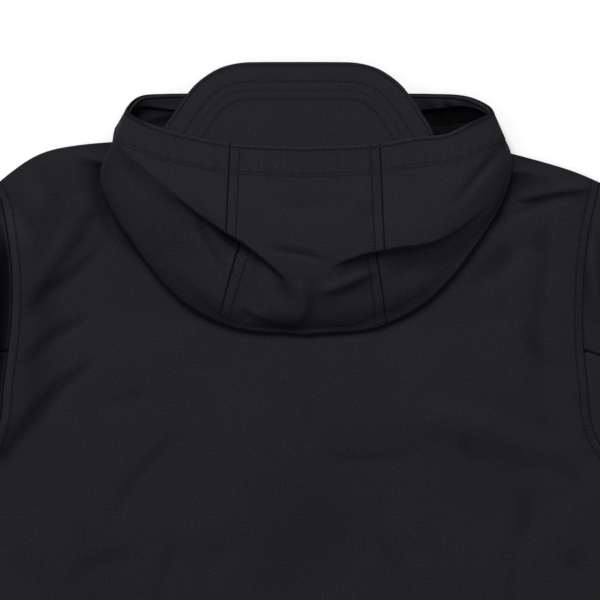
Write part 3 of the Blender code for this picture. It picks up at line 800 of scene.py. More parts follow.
def hood_painted_shade(folded, t, shares):
    """Painted shade of the hood: darker in its folds, at the rolled lower edge, along the rim at the ears,
    and deep inside the right ear."""
    around = np.abs(shares)
    mid_shade = 0.3 * ease(0.62, 0.5, around) + 0.7 * ease(0.44, 0.22, around)
    rolled = 0.8 * ease(0.33, 0.37, t) * ease(0.62, 0.5, around)
    rolled = rolled * (1 - 0.3 * ease(0.30, 0.42, shares))
    edge_shade = EDGE_SHADE * np.maximum(ease(0.298, 0.342, t) * mid_shade, rolled)
    edge_shade += EAR_SHADE * ease(0.03, 0.0, t) * ease(0.46, 0.52, around)
    hollow = np.maximum(fold_shade_of(folded) * ease(0.36, 0.31, t), edge_shade)
    behind_rim = ease(0.40, 0.46, t) * ease(0.44, 0.52, shares)
    towards_chin = ease(0.04, 0.14, t) * ease(0.66, 0.72, shares)
    return np.maximum(hollow, DEEP_EAR_SHADE * np.maximum(behind_rim, towards_chin))


def with_edges(low, high, count, edge, both):
    """Evenly spread shares with close ones added at the first end, and at the last where both is true."""
    near = np.array([0.25, 0.6, 1.1, 1.8]) * edge
    ends = [np.linspace(low, high, count), low + np.sign(high - low) * near]
    if both:
        ends.append(high - np.sign(high - low) * near)
    return np.sort(np.concatenate(ends))


SEAM_DIP = 0.6 * MM
SEAM_WIDTH = 0.9 * MM


def dip(points, distance):
    """Presses the cloth down beside a seam by exp(-(distance / width) squared)."""
    points[..., 2] -= SEAM_DIP * bell(distance, SEAM_WIDTH)


# %% Sew the hood
inner_edge = CENTRE_SHARE - SEAM_SHARE
centre_shares = with_edges(-inner_edge, inner_edge, 84, 0.004, True)
plain, folded, hollow = hood_panel(centre_shares)
run = arc(plain, 1)
side_distance = np.minimum(run, run[:, -1:] - run)
dip(folded, side_distance)
seams = pair(side_distance, arc(plain, 0))
sew("hood_centre", folded, seams, hood_centre_cloth, plain, shaded_inside_cloth, hollow)

for side, word in SIDES:
    ear = with_edges(CENTRE_SHARE + SEAM_SHARE, 0.70, 112, 0.004, False)
    chin = np.linspace(0.70, 1.0, 42)[1:]
    plain, folded, hollow = hood_panel(np.sort(side * np.concatenate([ear, chin])))
    run = arc(plain, 1)
    side_distance = run if side > 0 else run[:, -1:] - run
    dip(folded, side_distance)
    seams = pair(side_distance, arc(plain, 0))
    sew(f"hood_side_{word}", folded, seams, hood_side_cloth, plain, shaded_inside_cloth, hollow)

# %% [markdown]
# ## Hood facing
# Inside both ears a turned-in band shows along the rim. It is the same cloth, and it lies just within the
# side panel.

# %% Sew the facings
FACING_SHARE = 0.47
FACING_END = 0.985
FACING_DEPTH = 0.11
FACING_INSET = 2.6 * MM
FACING_GRID = (14, 96)
FACING_STEP = 1e-3

for side, word in SIDES:
    round_share = side * np.linspace(FACING_SHARE, FACING_END, FACING_GRID[1])
    signed, down = np.meshgrid(round_share, np.linspace(0, FACING_DEPTH, FACING_GRID[0]))
    signed, down = signed.ravel(), down.ravel()
    higher = np.maximum(down - FACING_STEP, 0)
    round_rim = hood_point(signed + FACING_STEP, down) - hood_point(signed - FACING_STEP, down)
    to_neck = hood_point(signed, down + FACING_STEP) - hood_point(signed, higher)
    inward = np.cross(round_rim, to_neck)
    inward /= np.linalg.norm(inward, axis=1, keepdims=True)
    band = (hood_point(signed, down) + FACING_INSET * inward).reshape(*FACING_GRID, 3)
    seams = pair(arc(band, 1), arc(band, 0))
    loose = band.reshape(-1, 3).copy()
    fold(loose, CHIN_FOLDS, ease(0.68, 0.73, np.abs(signed)))
    band = loose.reshape(band.shape)
    sew(f"hood_facing_{word}", band, seams, facing_cloth)

# %% [markdown]
# ## Brim
# Past the forehead the hood carries a stiff brim of two plies, sewn together with rows of stitches that
# follow its edge. The grid runs from the root under the rim to the tip. The distance to the outer edge
# is measured to the outline itself, so each stitch row keeps its distance round the corners.

# %% Sew the brim
BrimRow = namedtuple("BrimRow", "share half_width")
BRIM = [
    BrimRow(0.000, 0.1112),
    BrimRow(0.081, 0.1078),
    BrimRow(0.191, 0.1004),
    BrimRow(0.337, 0.0912),
    BrimRow(0.439, 0.0850),
    BrimRow(0.594, 0.0737),
    BrimRow(0.735, 0.0629),
    BrimRow(0.860, 0.0515),
    BrimRow(1.000, 0.0370),
]
BRIM_SHIFT = 1.7 * MM
BRIM_TIP_Y = 59.7 * MM
BRIM_TUCK = 7.0 * MM
BRIM_DROOP = 3.5 * MM
BRIM_ARCH = 1.5 * MM
BRIM_CURL = 1.3 * MM
QUILT_RISE = 0.35 * MM


def rim_line(x):
    """(y, z) of the hood's rim over the forehead at the place x."""
    table = np.array(HOOD)[:6]
    out = np.abs(x - HOOD_SHIFT)
    return through(table[:, 1], table[:, 2], out), through(table[:, 1], table[:, 3], out)


def brim_point(across, v, layers_down):
    """A ply at the share across from -1 to 1. The way from root to tip is v (2 - v), slow at the tip, and
    the ply droops with its square and is arched across."""
    half = through(np.array(BRIM)[:, 0], np.array(BRIM)[:, 1], v)
    rim_y, rim_z = rim_line(BRIM_SHIFT + across * BRIM[0].half_width)
    root_y = rim_y - BRIM_TUCK
    way = v * (2 - v)
    y = root_y + (BRIM_TIP_Y - root_y) * way
    arch = BRIM_ARCH * (1 - across**2) * way
    return stacked(BRIM_SHIFT + across * half, y, rim_z - layers_down * LAYER - BRIM_DROOP * way**2 + arch)


def brim_outline():
    """The free edge in plan: up the left side, over the tip and down the right side."""
    v = np.linspace(0, 1, 110)
    left = brim_point(-np.ones_like(v), v, 1)
    tip = brim_point(np.linspace(-1, 1, 40), np.ones(40), 1)
    right = brim_point(np.ones_like(v), v, 1)[::-1]
    return np.concatenate([left, tip[1:-1], right])


outline = brim_outline()
brim_edge = np.concatenate([outline[:, :2], np.ones((len(outline), 1))], axis=1)
across, v = np.meshgrid(edged(130, 0.98, 0.99, 0.997), np.linspace(0, 1, 74))
for node, layers_down, curl_way in (("hood_brim_upper", 1, 1), ("hood_brim_under", 2.2, -1)):
    ply = brim_point(across.ravel(), v.ravel(), layers_down)
    distance = np.abs(nearest(brim_edge, ply[:, 0], ply[:, 1])[0])
    curl = np.clip(1 - distance / BRIM_CURL, 0, 1)
    ply[:, 2] -= curl_way * 0.25 * BRIM_CURL * (1 - np.sqrt(1 - curl**2))
    quilt = np.zeros(len(ply))
    for low, high in zip(BRIM_STITCHES, BRIM_STITCHES[1:]):
        share = np.clip((distance - low) / (high - low), 0, 1)
        quilt += np.sin(np.pi * share) ** 0.7 * QUILT_RISE
    to_row = np.min([np.abs(distance - row) for row in BRIM_STITCHES], axis=0)
    ply[:, 2] += curl_way * (quilt + pucker(ply[:, 0] + 1.3 * ply[:, 1], to_row, 3 * MM, 0.08 * MM))
    ply = ply.reshape(*v.shape, 3)
    seams = pair(distance.reshape(v.shape), arc(ply, 0))
    sew(node, ply, seams, brim_cloth)

# %% [markdown]
# ## Back
# The back is one panel from hem to neck. It lies on the fronts at its edges, with a little air within.
# Its creases fan out from the armholes, where the cloth is held, and fade towards the middle.

# %% Body sizes and outline
BODY_LENGTH = 740.0 * MM
BACK_LOFT = 3.3 * MM
ARMHOLE_SHARE = 1 - 14 / 22

EdgeRow = namedtuple("EdgeRow", "half_width y")
SIDE_SEAM = [
    EdgeRow(0.2780, -BODY_LENGTH),
    EdgeRow(0.2760, -0.510),
    EdgeRow(0.2900, -0.291),
]
ARMHOLE = [
    EdgeRow(0.2900, -0.2910),
    EdgeRow(0.2480, -0.2500),
    EdgeRow(0.2386, -0.1990),
    EdgeRow(0.2353, -0.1500),
    EdgeRow(0.2386, -0.0925),
    EdgeRow(SHOULDER_HALF, -SHOULDER_DROP),
]


def top_y(x, neck_drop):
    """Top edge: the neckline, then the shoulder falling with the 1.15th power, fuller on the left."""
    share = np.clip((np.abs(x) - NECK_HALF) / (SHOULDER_HALF - NECK_HALF), 0, 1)
    bulge = np.where(x < 0, LEFT_BULGE, RIGHT_BULGE)
    shoulder = -SHOULDER_DROP * share**1.15 + bulge * np.sin(np.pi * share**1.5)
    return np.where(np.abs(x) < NECK_HALF, neck_y(x, neck_drop), shoulder)


def armhole(share):
    """(half width, y) on the armhole, from the underarm (0) to the shoulder (1)."""
    return columns(ARMHOLE, np.linspace(0, 1, len(ARMHOLE)), share)


def side_edge(v):
    """(half width, y) on the side edge, from the hem (0) over the underarm to the shoulder (1)."""
    seam = columns(SIDE_SEAM, np.linspace(0, 1, len(SIDE_SEAM)), np.clip(v / ARMHOLE_SHARE, 0, 1))
    hole = armhole(np.clip((v - ARMHOLE_SHARE) / (1 - ARMHOLE_SHARE), 0, 1))
    low = v < ARMHOLE_SHARE
    return np.where(low, seam[0], hole[0]), np.where(low, seam[1], hole[1])


def body_plan(x_share, v, neck_drop):
    """(x, y) of a panel: the side edge's height, lifted towards the top edge with the square of v."""
    half, y = side_edge(v)
    rise = np.clip((v - 0.5) / 0.5, 0, 1) ** 2
    return x_share * half, y + (top_y(x_share * SHOULDER_HALF, neck_drop) + SHOULDER_DROP) * rise


def edge_line(side, first=0.0):
    """The side edge in plan, as samples with weight 1."""
    half, y = side_edge(np.linspace(first, 1, 160))
    return stacked(side * half, y, 1.0)


# %% Creases of the back
BACK_CREASES = [
    soft(1.9, 5.5, (-226, -153, 0.3), (-210, -128, 1), (-188, -114, 0.9), (-168, -98, 0.6),
         (-148, -84, 0)),
    soft(2.2, 6, (-226, -190, 0.4), (-199, -162, 1), (-184, -153, 0.7), (-166, -146, 0)),
    soft(2.8, 7, (-243, -262, 1), (-218, -231, 1), (-196, -206, 0.8), (-176, -190, 0.5),
         (-158, -181, 0)),
    soft(2.6, 11, (140, -120, 0.3), (172, -98, 1), (210, -84, 0)),
    soft(0.8, 6, (131, -226, 0), (135, -240, 1), (141, -256, 0.8), (152, -272, 0)),
    soft(1, 9, (190, -286, 0), (187, -310, 1), (180, -338, 0.6), (175, -366, 0.9), (166, -430, 0)),
    soft(3.2, 16, (200, -64, 0), (205, -84, 0.9), (199, -124, 1), (195, -160, 1), (198, -190, 0.5),
         (202, -220, 0)),
    soft(0.9, 9, (172, -124, 0), (178, -140, 0.8), (186, -160, 1), (198, -176, 0.9), (213, -186, 0.8),
         (232, -198, 0)),
    soft(0.8, 7, (-92, -238, 0), (-108, -254, 0.8), (-126, -271, 1), (-142, -292, 0.9),
         (-160, -326, 0)),
    soft(0.7, 6, (12, -258, 0), (36, -262, 0.8), (58, -264, 1), (80, -261, 0.8), (106, -256, 0)),
    soft(0.9, 8, (160, -260, 0), (184, -264, 0.7), (204, -268, 1), (229, -279, 1), (252, -292, 0)),
    soft(0.5, 9, (-30, -326, 0), (-70, -338, 1), (-120, -352, 0)),
    soft(0.6, 6, (-188, -366, 0), (-174, -352, 1), (-150, -343, 0.9), (-118, -339, 0)),
    soft(0.6, 6, (-94, -318, 0), (-102, -334, 1), (-110, -362, 0.8), (-124, -396, 0)),
    soft(0.5, 8, (56, -318, 0), (80, -348, 1), (98, -396, 0)),
    soft(0.5, 8, (200, -322, 0), (222, -342, 1), (250, -372, 0)),
    soft(0.7, 8, (-170, -226, 0), (-140, -214, 1), (-104, -206, 0)),
    soft(-2.4, 22, (10, -226, 0), (60, -229, 0.8), (110, -231, 1), (160, -237, 1), (232, -270, 0)),
    soft(-2.7, 14, (96, -228, 0), (120, -231, 0.6), (142, -236, 1), (175, -247, 1), (204, -257, 0.8),
         (236, -268, 0)),
    soft(0.9, 26, (-150, -240, 0), (-90, -270, 1), (-20, -330, 0)),
    soft(-0.6, 24, (-60, -230, 0), (10, -250, 1), (70, -300, 0)),
    soft(4.4, 10, (-164, -28, 0.2), (-158, -46, 0.8), (-151, -66, 1), (-140, -86, 0.6),
         (-122, -108, 0)),
    soft(3.6, 9, (178, -34, 0.6), (173, -52, 1), (169, -64, 0.4), (160, -80, 0)),
    soft(3, 12, (166, -52, 0.8), (184, -51, 1), (204, -49, 0.7), (232, -46, 0)),
    soft(-3.6, 11, (-190, -16, 0.2), (-182, -42, 1), (-174, -62, 1), (-160, -88, 0)),
    soft(2.2, 16, (-200, -420, 0), (-150, -445, 1), (-96, -500, 0)),
    soft(2, 14, (205, -520, 0), (160, -500, 1), (100, -520, 0)),
    soft(1.8, 18, (-60, -600, 0), (-20, -560, 1), (50, -548, 0)),
    soft(0.7, 12, (-262, -330, 0.6), (-225, -350, 1), (-186, -372, 0)),
    soft(0.7, 12, (265, -320, 0.6), (230, -345, 1), (186, -380, 0)),
]
BACK_FOLDS = [
    Fold(rise=3.4, run=9, drop=1.4, fall=2.4, reach=36, hidden=0, line=[
        (160, -28, 1), (174, -28.5, 1), (188, -29, 0.7), (200, -30, 0.3), (214, -32, 0)]),
    Fold(rise=6, run=16, drop=0.8, fall=12, reach=36, hidden=0, line=[
        (158, -28, 1), (184, -29, 1), (206, -32, 0.8), (232, -37, 0)]),
    Fold(rise=3.2, run=6, drop=2.4, fall=1.9, reach=22, hidden=0, line=[
        (174, -56, 0), (182, -53, 0.9), (191, -50.5, 1), (208, -47.5, 1), (226, -45.5, 0.9),
        (242, -44, 0.5)]),
    Fold(rise=5, run=9, drop=1.4, fall=2.2, reach=30, hidden=0, line=[
        (-196, -13.5, 0), (-184, -13, 0.7), (-177, -13.5, 1), (-168, -18, 1), (-160, -20, 1),
        (-146, -23, 1)]),
    Fold(rise=4.6, run=14, drop=0.6, fall=11, reach=30, hidden=0, line=[
        (-214, -22, 0), (-194, -17, 0.7), (-172, -18, 1), (-146, -24, 1)]),
]

# %% Swells beside the armholes
RIDGE = 12.0 * MM
RIDGE_RISE = 20.0 * MM
RIDGE_FALL = 5.5 * MM
SWELL = 20.0 * MM
SWELL_AT = 23.0 * MM
SWELL_WIDTH = 10.0 * MM
VALLEY_SHADE = 1.35
DRAW_IN = 4.4 * MM
LEFT_RISE = 2.6 * MM
RIGHT_RISE = 3.5 * MM


def left_ridge(points, distance, width):
    """The left armhole seam stands up as a ridge, highest at mid height, and falls off with distance."""
    share = window(points[..., 1], -0.285, -0.235, -0.09, -0.05)
    points[..., 2] += RIDGE * share * bell(distance, width)


def left_swell(points, distance):
    """Beyond the ridge the left sleeve swells again, so that a deep narrow valley lies between them."""
    share = window(points[..., 1], -0.30, -0.25, -0.09, -0.05)
    points[..., 2] += SWELL * share * bell(distance - SWELL_AT, SWELL_WIDTH)


def valley(points, distance):
    """Painted valley shade of the left sleeve: more than full at the armhole seam, gone past the valley's
    floor.
    """
    share = window(points[..., 1], -0.29, -0.25, -0.10, -0.06)
    return VALLEY_SHADE * share * window(distance, 0.0005, 0.003, 0.016, 0.030)


def settle_shoulders(points):
    """The left armhole lies further in at shoulder height, and both shoulders lie higher at their ends."""
    x, y = points[..., 0].copy(), points[..., 1].copy()
    left_end = bell(x + 0.215, 0.024)
    right_end = (0.3 * ease(0.14, 0.17, x) + 0.7 * ease(0.19, 0.243, x)) * ease(0.36, 0.27, x)
    points[..., 1] += (LEFT_RISE * left_end + RIGHT_RISE * right_end) * ease(-0.13, -0.05, y)
    points[..., 0] += DRAW_IN * bell(x + 0.240, 0.045) * window(y, -0.200, -0.105, -0.056, -0.034)


# %% Sew the back
HOOD_CONTACT = 0.55
CONTACT_REACH = 12 * MM
CONTACT_WIDER = 22 * MM
Contact = namedtuple("Contact", "side end low high")
CONTACTS = [
    Contact(-1, -0.120, -0.050, -0.034),
    Contact(1, -0.072, -0.066, -0.052),
]


def hood_contact(x, y, row):
    """Shade of the cloth that the hood's edge keeps the light from. It begins at the height end, falls off
    over 12 mm from the edge up to low, and over 34 mm above high, where the cloth dips beside the hood."""
    edge = hood_sections(row.side, np.linspace(0.1, 0.62, 40))[:, 4]
    distance = np.abs(nearest(edge, x, y)[0])
    reach = CONTACT_REACH + CONTACT_WIDER * ease(row.low, row.high, y)
    begun = ease(row.end, row.end + 0.03, y)
    return HOOD_CONTACT * np.exp(-distance / reach) * begun * (row.side * x > 0)


WAVE_HEIGHT = 1.0 * MM
WAVE_LIFT = 3.0 * MM


def soft_waves(x, y):
    """A slow unevenness: three crossing sines, each some decimetres long."""
    return (
        np.sin(27 * x + 9 * y + 0.4)
        + 0.8 * np.sin(-14 * x + 29 * y + 1.9)
        + 0.6 * np.sin(41 * x - 21 * y + 4.1)
    )


BODY_ROWS = spans((0, 0.28, 44), (0.28, 0.80, 100), (0.80, 0.90, 30), (0.90, 1, 64))
x_share, v = np.meshgrid(edged(150, 0.985, 0.994, 0.998), BODY_ROWS)
x, y = body_plan(x_share.ravel(), v.ravel(), BACK_NECK_DROP)
loft = BACK_LOFT * (1 - np.abs(x_share.ravel()) ** 6) * (1 - v.ravel() ** 10)
lift = neck_lift(x_share.ravel() * SHOULDER_HALF) * ease(0.72, 1.0, v.ravel())
plain = stacked(x, y, LAYER + WALL / 2 + loft + lift)
edge_distance = np.min([np.abs(nearest(edge_line(side), x, y)[0]) for side in (-1, 1)], axis=0)
within = ease(0, 0.03, edge_distance) * ease(1.0, 0.93, v.ravel())
back = plain.copy()
crease(back, BACK_CREASES, ease(0, 0.012, edge_distance))
fold(back, BACK_FOLDS, ease(0, 0.012, edge_distance) * ease(1.0, 0.96, v.ravel()))
inward = 0.75 * np.minimum(y + 0.06, 0)
beside_hood = np.where(x < 0, ease(0.160, 0.175, inward - x), ease(0.165, 0.19, x))
clear_of_hood = ease(-0.13, -0.20, y) + beside_hood * ease(-0.20, -0.13, y)
back[:, 2] += (WAVE_HEIGHT * soft_waves(x, y) + WAVE_LIFT) * within * clear_of_hood
left_ridge(back, edge_distance + (x > 0), RIDGE_RISE)
back[:, 2] += pucker(y, edge_distance - ARMHOLE_STITCH, 6 * MM, 0.14 * MM)
back[:, 2] = np.maximum(back[:, 2], LAYER + WALL / 2)
dip(back, edge_distance)
settle_shoulders(back)
contact = sum(hood_contact(x, y, row) for row in CONTACTS)
shape = (*x_share.shape, 3)
back, plain = back.reshape(shape), plain.reshape(shape)
seams = pair(edge_distance.reshape(shape[:2]), arc(plain, 0))
# Painted shade of the back's folds and of the hood's edge beside it.
hollow = np.maximum(fold_shade_of(back), contact.reshape(shape[:2]))
sew("back", back, seams, back_cloth, plain, hollow=hollow)

# %% [markdown]
# ## Fronts
# The fronts carry the jacket's weight, so they are flat on the table. The sides of the zip lie between
# them. Faint creases rise from the table, where the cloth is pulled from armhole to chest.

# %% Sew the fronts
FRONT_CREASES = [
    soft(-0.8, 8, (232, -180, 0), (180, -205, 1), (120, -250, 0)),
    soft(-0.7, 10, (250, -300, 0), (190, -330, 1), (110, -400, 0)),
    soft(-0.7, 9, (60, -420, 0), (120, -480, 1), (200, -560, 0)),
    soft(-0.6, 9, (90, -110, 0), (130, -130, 1), (190, -120, 0)),
]

for side, word in SIDES:
    u, v = np.meshgrid(np.linspace(0, 1, 70), np.linspace(0, 1, 150))
    half, _ = side_edge(v.ravel())
    start = FRONT_EDGE / half
    x, y = body_plan(side * (start + (1 - start) * u.ravel()), v.ravel(), FRONT_NECK_DROP)
    flat_front = stacked(x, y, WALL / 2 + 0 * x)
    front = flat_front.copy()
    mirrored = front * [side, 1, 1]
    crease(mirrored, FRONT_CREASES, 1.0 if side > 0 else 0.8)
    front[:, 2] = mirrored[:, 2]
    settle_shoulders(front)
    front, flat_front = front.reshape(*u.shape, 3), flat_front.reshape(*u.shape, 3)
    seams = pair(arc(flat_front, 1), arc(flat_front, 0))
    sew(f"front_{word}", front, seams, front_cloth, flat_from=flat_front)

# %% [markdown]
# ## Sleeves
# Each sleeve has two pieces. The upper one runs from the seam at the back of the arm round the outer
# edge and along the table, and the under one is the strip from the body to that seam. Cross lines from
# inner to outer edge carry both, with a little air between the layers.

# %% Sleeve shape
SleeveRow = namedtuple("SleeveRow", "share inner_x inner_y outer_x outer_y back_seam")
SLEEVE = [
    SleeveRow(0.14, 0.3125, -0.318, 0.3810, -0.1130, 0.50),
    SleeveRow(0.28, 0.335, -0.345, 0.4920, -0.2130, 0.50),
    SleeveRow(0.64, 0.444, -0.475, 0.5745, -0.3655, 0.47),
    SleeveRow(1.00, 0.576, -0.632, 0.6720, -0.5515, 0.44),
]
ARMHOLE_BACK_SEAM = 0.50
BACK_SEAM_HALF = 0.0012
SLEEVE_LOFT = 2.6 * MM
SLEEVE_ROLL = 1.0 * MM


def sleeve_plan(q, v):
    """(x, y) of a right sleeve at the share q from inner to outer edge and v from armhole to cuff."""
    hole_x, hole_y = armhole(q)
    ahead_x, ahead_y = armhole(np.clip(q + 0.01, 0, 1))
    behind_x, behind_y = armhole(np.clip(q - 0.01, 0, 1))
    run = np.hypot(ahead_x - behind_x, ahead_y - behind_y)
    start_x = hole_x + SEAM_GAP * 1.3 * (ahead_y - behind_y) / run
    start_y = hole_y - SEAM_GAP * 1.3 * (ahead_x - behind_x) / run
    points = [stacked(start_x, start_y, 0 * q)]
    for row in SLEEVE:
        x = row.inner_x + (row.outer_x - row.inner_x) * q
        y = row.inner_y + (row.outer_y - row.inner_y) * q
        points.append(stacked(x, y, 0 * q))
    shares = [0] + [row.share for row in SLEEVE]
    place = np.interp(v, shares, np.linspace(0, 1, len(shares)))
    flat = along(np.stack(points, axis=1), place)
    return flat[:, 0], flat[:, 1]


def back_seam(v):
    """The share from inner to outer edge at which the seam at the back of the arm runs."""
    shares = [0] + [row.share for row in SLEEVE]
    return through(shares, [ARMHOLE_BACK_SEAM] + [row.back_seam for row in SLEEVE], v)


def sleeve_top_z(q, v):
    """Height of the upper layer: air grows with the square root of q (1 - q), from nothing at the edges."""
    air = SLEEVE_LOFT * np.sqrt(np.clip(4 * q * (1 - q), 0, 1)) * ease(0, 0.1, v)
    return LAYER + WALL / 2 + air + SLEEVE_ROLL * ease(0.6, 1.0, q) * ease(0, 0.1, v)


# %% Sleeve creases
SLEEVE_CREASES = [
    soft(2, 10, (262, -260, 0), (300, -250, 1), (352, -210, 0)),
    soft(1.9, 11, (300, -120, 0), (345, -180, 1), (360, -250, 0)),
    soft(2.1, 10, (370, -385, 0), (420, -350, 1), (500, -330, 0)),
    soft(2.1, 9, (410, -430, 0), (455, -400, 1), (530, -395, 0)),
    soft(1.8, 9, (470, -500, 0), (510, -470, 1), (570, -465, 0)),
    soft(1.8, 12, (420, -200, 0), (455, -270, 1), (500, -330, 0)),
]

SLEEVE_FOLDS = [
    Fold(rise=7, run=4, drop=0, fall=1.6, reach=20, hidden=0, line=[
        (251, -150, 0), (246.5, -122, 1), (243, -100, 1), (241, -84, 0.1)]),
]

# %% Sew the sleeves
V_ROWS = spans((0, 0.02, 8), (0.02, 0.16, 34), (0.16, 1, 84))
FAR = 1.0


def sew_sleeve(part, points, plain, above, seam_first, side, word, on):
    """Turns a right piece to its side, settles it at the armhole and sews it. The seam at the back of the
    arm is its first or its last column, and above says which of its points lie on another layer."""
    points, plain = ((grid * [side, 1, 1]).reshape(*above.shape, 3) for grid in (points, plain))
    down, across = arc(plain, 0), arc(plain, 1)
    seam_run = np.minimum(down, across if seam_first else across[:, -1:] - across)
    seams = pair(seam_run, down[-1:] - down)
    points[..., 2] = np.maximum(points[..., 2], np.where(above, LAYER + WALL / 2, WALL / 2))
    dip(points, np.where(above, seam_run, FAR))
    if side < 0:
        left_ridge(points, np.where(above, down, FAR), RIDGE_FALL)
        left_swell(points, np.where(above, down, FAR))
    settle_shoulders(points)
    # Painted shade of the folds, and on the left sleeve of its valley.
    hollow = fold_shade_of(points)
    if side < 0:
        hollow = np.maximum(hollow, valley(points, down))
    sew(f"sleeve_{part}_{word}", points, seams, sleeve_cloth, plain, hollow=hollow)


def upper_piece(side):
    """(folded, plain, above) of the piece that runs over the top, round the outer edge and back below."""
    top_u, turn_u, low_u = np.linspace(0, 1, 40), np.linspace(0, 1, 16)[1:], np.linspace(0, 1, 44)[1:]
    top, v = np.meshgrid(np.concatenate([top_u, np.ones(len(turn_u) + len(low_u))]), V_ROWS)
    turn = np.broadcast_to(np.concatenate([0 * top_u, turn_u, np.ones(len(low_u))]), v.shape)
    low = np.broadcast_to(np.concatenate([0 * top_u, 0 * turn_u, low_u]), v.shape)
    above = turn == 0
    top, turn, low, v = (part.ravel() for part in (top, turn, low, v))
    seam = back_seam(v) + BACK_SEAM_HALF
    q = np.where(low > 0, 1 - low, seam + (1 - seam) * top)
    x, y = sleeve_plan(q, v)
    radius = (sleeve_top_z(np.ones_like(v), v) - WALL / 2) / 2
    reach = 1.2 * radius * np.sin(np.pi * turn)
    z = np.where(turn > 0, WALL / 2 + radius * (1 + np.cos(np.pi * turn)), sleeve_top_z(q, v))
    plain = stacked(x + 0.8 * reach, y + 0.6 * reach, z)
    folded = plain.copy()
    on_top = ease(0.25, 0.0, turn) * ease(0, 0.004, v)
    crease(folded, SLEEVE_CREASES, on_top)
    if side > 0:
        fold(folded, SLEEVE_FOLDS, on_top)
    return folded, plain, above


def under_piece():
    """(folded, plain, above) of the strip between the body and the seam at the back of the arm."""
    share, v = np.meshgrid(np.linspace(0, 1, 44), V_ROWS)
    above = np.ones(v.shape, bool)
    share, v = share.ravel(), v.ravel()
    q = (back_seam(v) - BACK_SEAM_HALF) * share
    x, y = sleeve_plan(q, v)
    plain = stacked(x, y, sleeve_top_z(q, v))
    folded = plain.copy()
    crease(folded, SLEEVE_CREASES, ease(0, 0.004, v) * ease(0, 0.1, share))
    return folded, plain, above


for side, word in SIDES:
    sew_sleeve("upper", *upper_piece(side), True, side, word, [])
    sew_sleeve("under", *under_piece(), False, side, word, [f"sleeve_upper_{word}"])

# %% [markdown]
# ## Zip
# The front zip is hidden under the jacket, so it is plain: two woven tapes, a coil and a slider. The
# coil is two rows of small rounded loops that reach past each other. One loop has few faces, because
# there are about a thousand of them.

# %% Zip tapes
TAPE_WALL = 0.7 * MM
TAPE_HALF = 15.5 * MM
CHAIN_HALF = 2.6 * MM
CHAIN_WALL = 1.3 * MM
ZIP_TOP = 30.0 * MM


def front_z(y):
    """Height of the fronts' middle beside the zip: flat below the neck, then rising evenly to the chin."""
    share = np.clip((y + FRONT_NECK_DROP) / (CHIN_RIM + FRONT_NECK_DROP), 0, 1)
    return WALL / 2 + CHIN_RISE * share


for side, word in SIDES:
    x, y = np.meshgrid(side * np.linspace(SEAM_GAP, TAPE_HALF, 12), np.linspace(-BODY_LENGTH, ZIP_TOP, 160))
    tape = stacked(x, y, front_z(y) + WALL / 2 + SEAM_GAP + TAPE_WALL / 2)
    seams = pair(arc(tape, 1), arc(tape, 0))
    sew(f"zip_tape_{word}", tape, seams, tape_cloth, wall=TAPE_WALL)

# %% Zip coil and slider
COIL_PITCH = 1.5 * MM


def nylon(name, colour, roughness, metallic, shine=0.5):
    """A smooth moulded or painted finish with a fine unevenness from Object coordinates."""
    material, tree, shader = new_material(name, colour)
    place = shader_node(tree, "TexCoord", {})["Object"]
    mottled = place_group(tree, mottle, {"Cloth": place})
    tint(tree, shader, colour, mottled["Shade"])
    rough = math(tree, "MULTIPLY_ADD", mottled["Grain"], 0.2, roughness - 0.1)
    feed(tree, shader, {"Roughness": rough, "Metallic": metallic, "Specular IOR Level": shine})
    return material


def coil_loops():
    """Loops as four-sided rings: each runs out from the middle to one side, rows half a pitch apart."""
    count = int((BODY_LENGTH + ZIP_TOP) / COIL_PITCH)
    at = -BODY_LENGTH + (np.arange(2 * count) + 0.5) * COIL_PITCH / 2
    side = np.where(np.arange(2 * count) % 2 == 0, 1.0, -1.0)
    ring_x = np.array([-0.35, 0.1, 0.75, 1.0]) * CHAIN_HALF
    ring_r = np.array([0.55, 1.0, 1.0, 0.6])
    turn = np.arange(6) * np.pi / 3
    x = side[:, None, None] * (ring_x[None, :, None] + 0 * turn)
    y = at[:, None, None] + 0.34 * COIL_PITCH * ring_r[None, :, None] * np.cos(turn)
    rise = 0.48 * CHAIN_WALL * ring_r[None, :, None] * np.sin(turn) * side[:, None, None]
    z = front_z(y) + WALL / 2 - CHAIN_WALL / 2 + rise
    return stacked(x, y, z)


def ring_faces(count, rings, sides):
    """Quads between the rings of many like tubes, and a cap at both ends of each, as index arrays."""
    index = np.arange(count * rings * sides).reshape(count, rings, sides)
    nxt = np.roll(index, -1, axis=2)
    walls = np.stack([index[:, :-1], nxt[:, :-1], nxt[:, 1:], index[:, 1:]], axis=-1).reshape(-1, 4)
    caps = np.concatenate([index[:, 0, ::-1], index[:, -1]])
    return walls.tolist() + caps.tolist()


THREAD_BELOW = 0.1 * MM


def joined(name, points, material):
    """One mesh from many like tubes given as (count, rings, sides, 3) points, kept off the table."""
    count, rings, sides = points.shape[:3]
    mesh = bpy.data.meshes.new(name)
    flat = (points + NECK_POINT).reshape(-1, 3)
    flat[:, 2] = np.maximum(flat[:, 2], -THREAD_BELOW)
    mesh.from_pydata(flat.tolist(), [], ring_faces(count, rings, sides))
    mesh.polygons.foreach_set("use_smooth", np.ones(len(mesh.polygons), bool))
    mesh.materials.append(material)
    piece = show(name, mesh)
    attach(piece, "root")
    print(f"{name}: {count} of {len(mesh.polygons) // count} faces")
    return piece


COIL = (0.012, 0.012, 0.013)
SLIDER = (0.016, 0.016, 0.018)
coil = joined("zip_coil_loops", coil_loops(), nylon("coil nylon", COIL, 0.4, 0.0))
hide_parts("zip_chain")
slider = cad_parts["zip_slider"].data
slider.materials.clear()
slider.materials.append(nylon("slider paint", SLIDER, 0.38, 0.6))

# %% [markdown]
# ## Stitches
# Thread makes a seam readable. Each stitch is a small spindle that dives into the cloth at both ends.
# The rows follow lines of equal distance on the folded grids, so a row that crosses a fold goes down
# into it with the cloth. All stitches of a part of the jacket are one mesh.

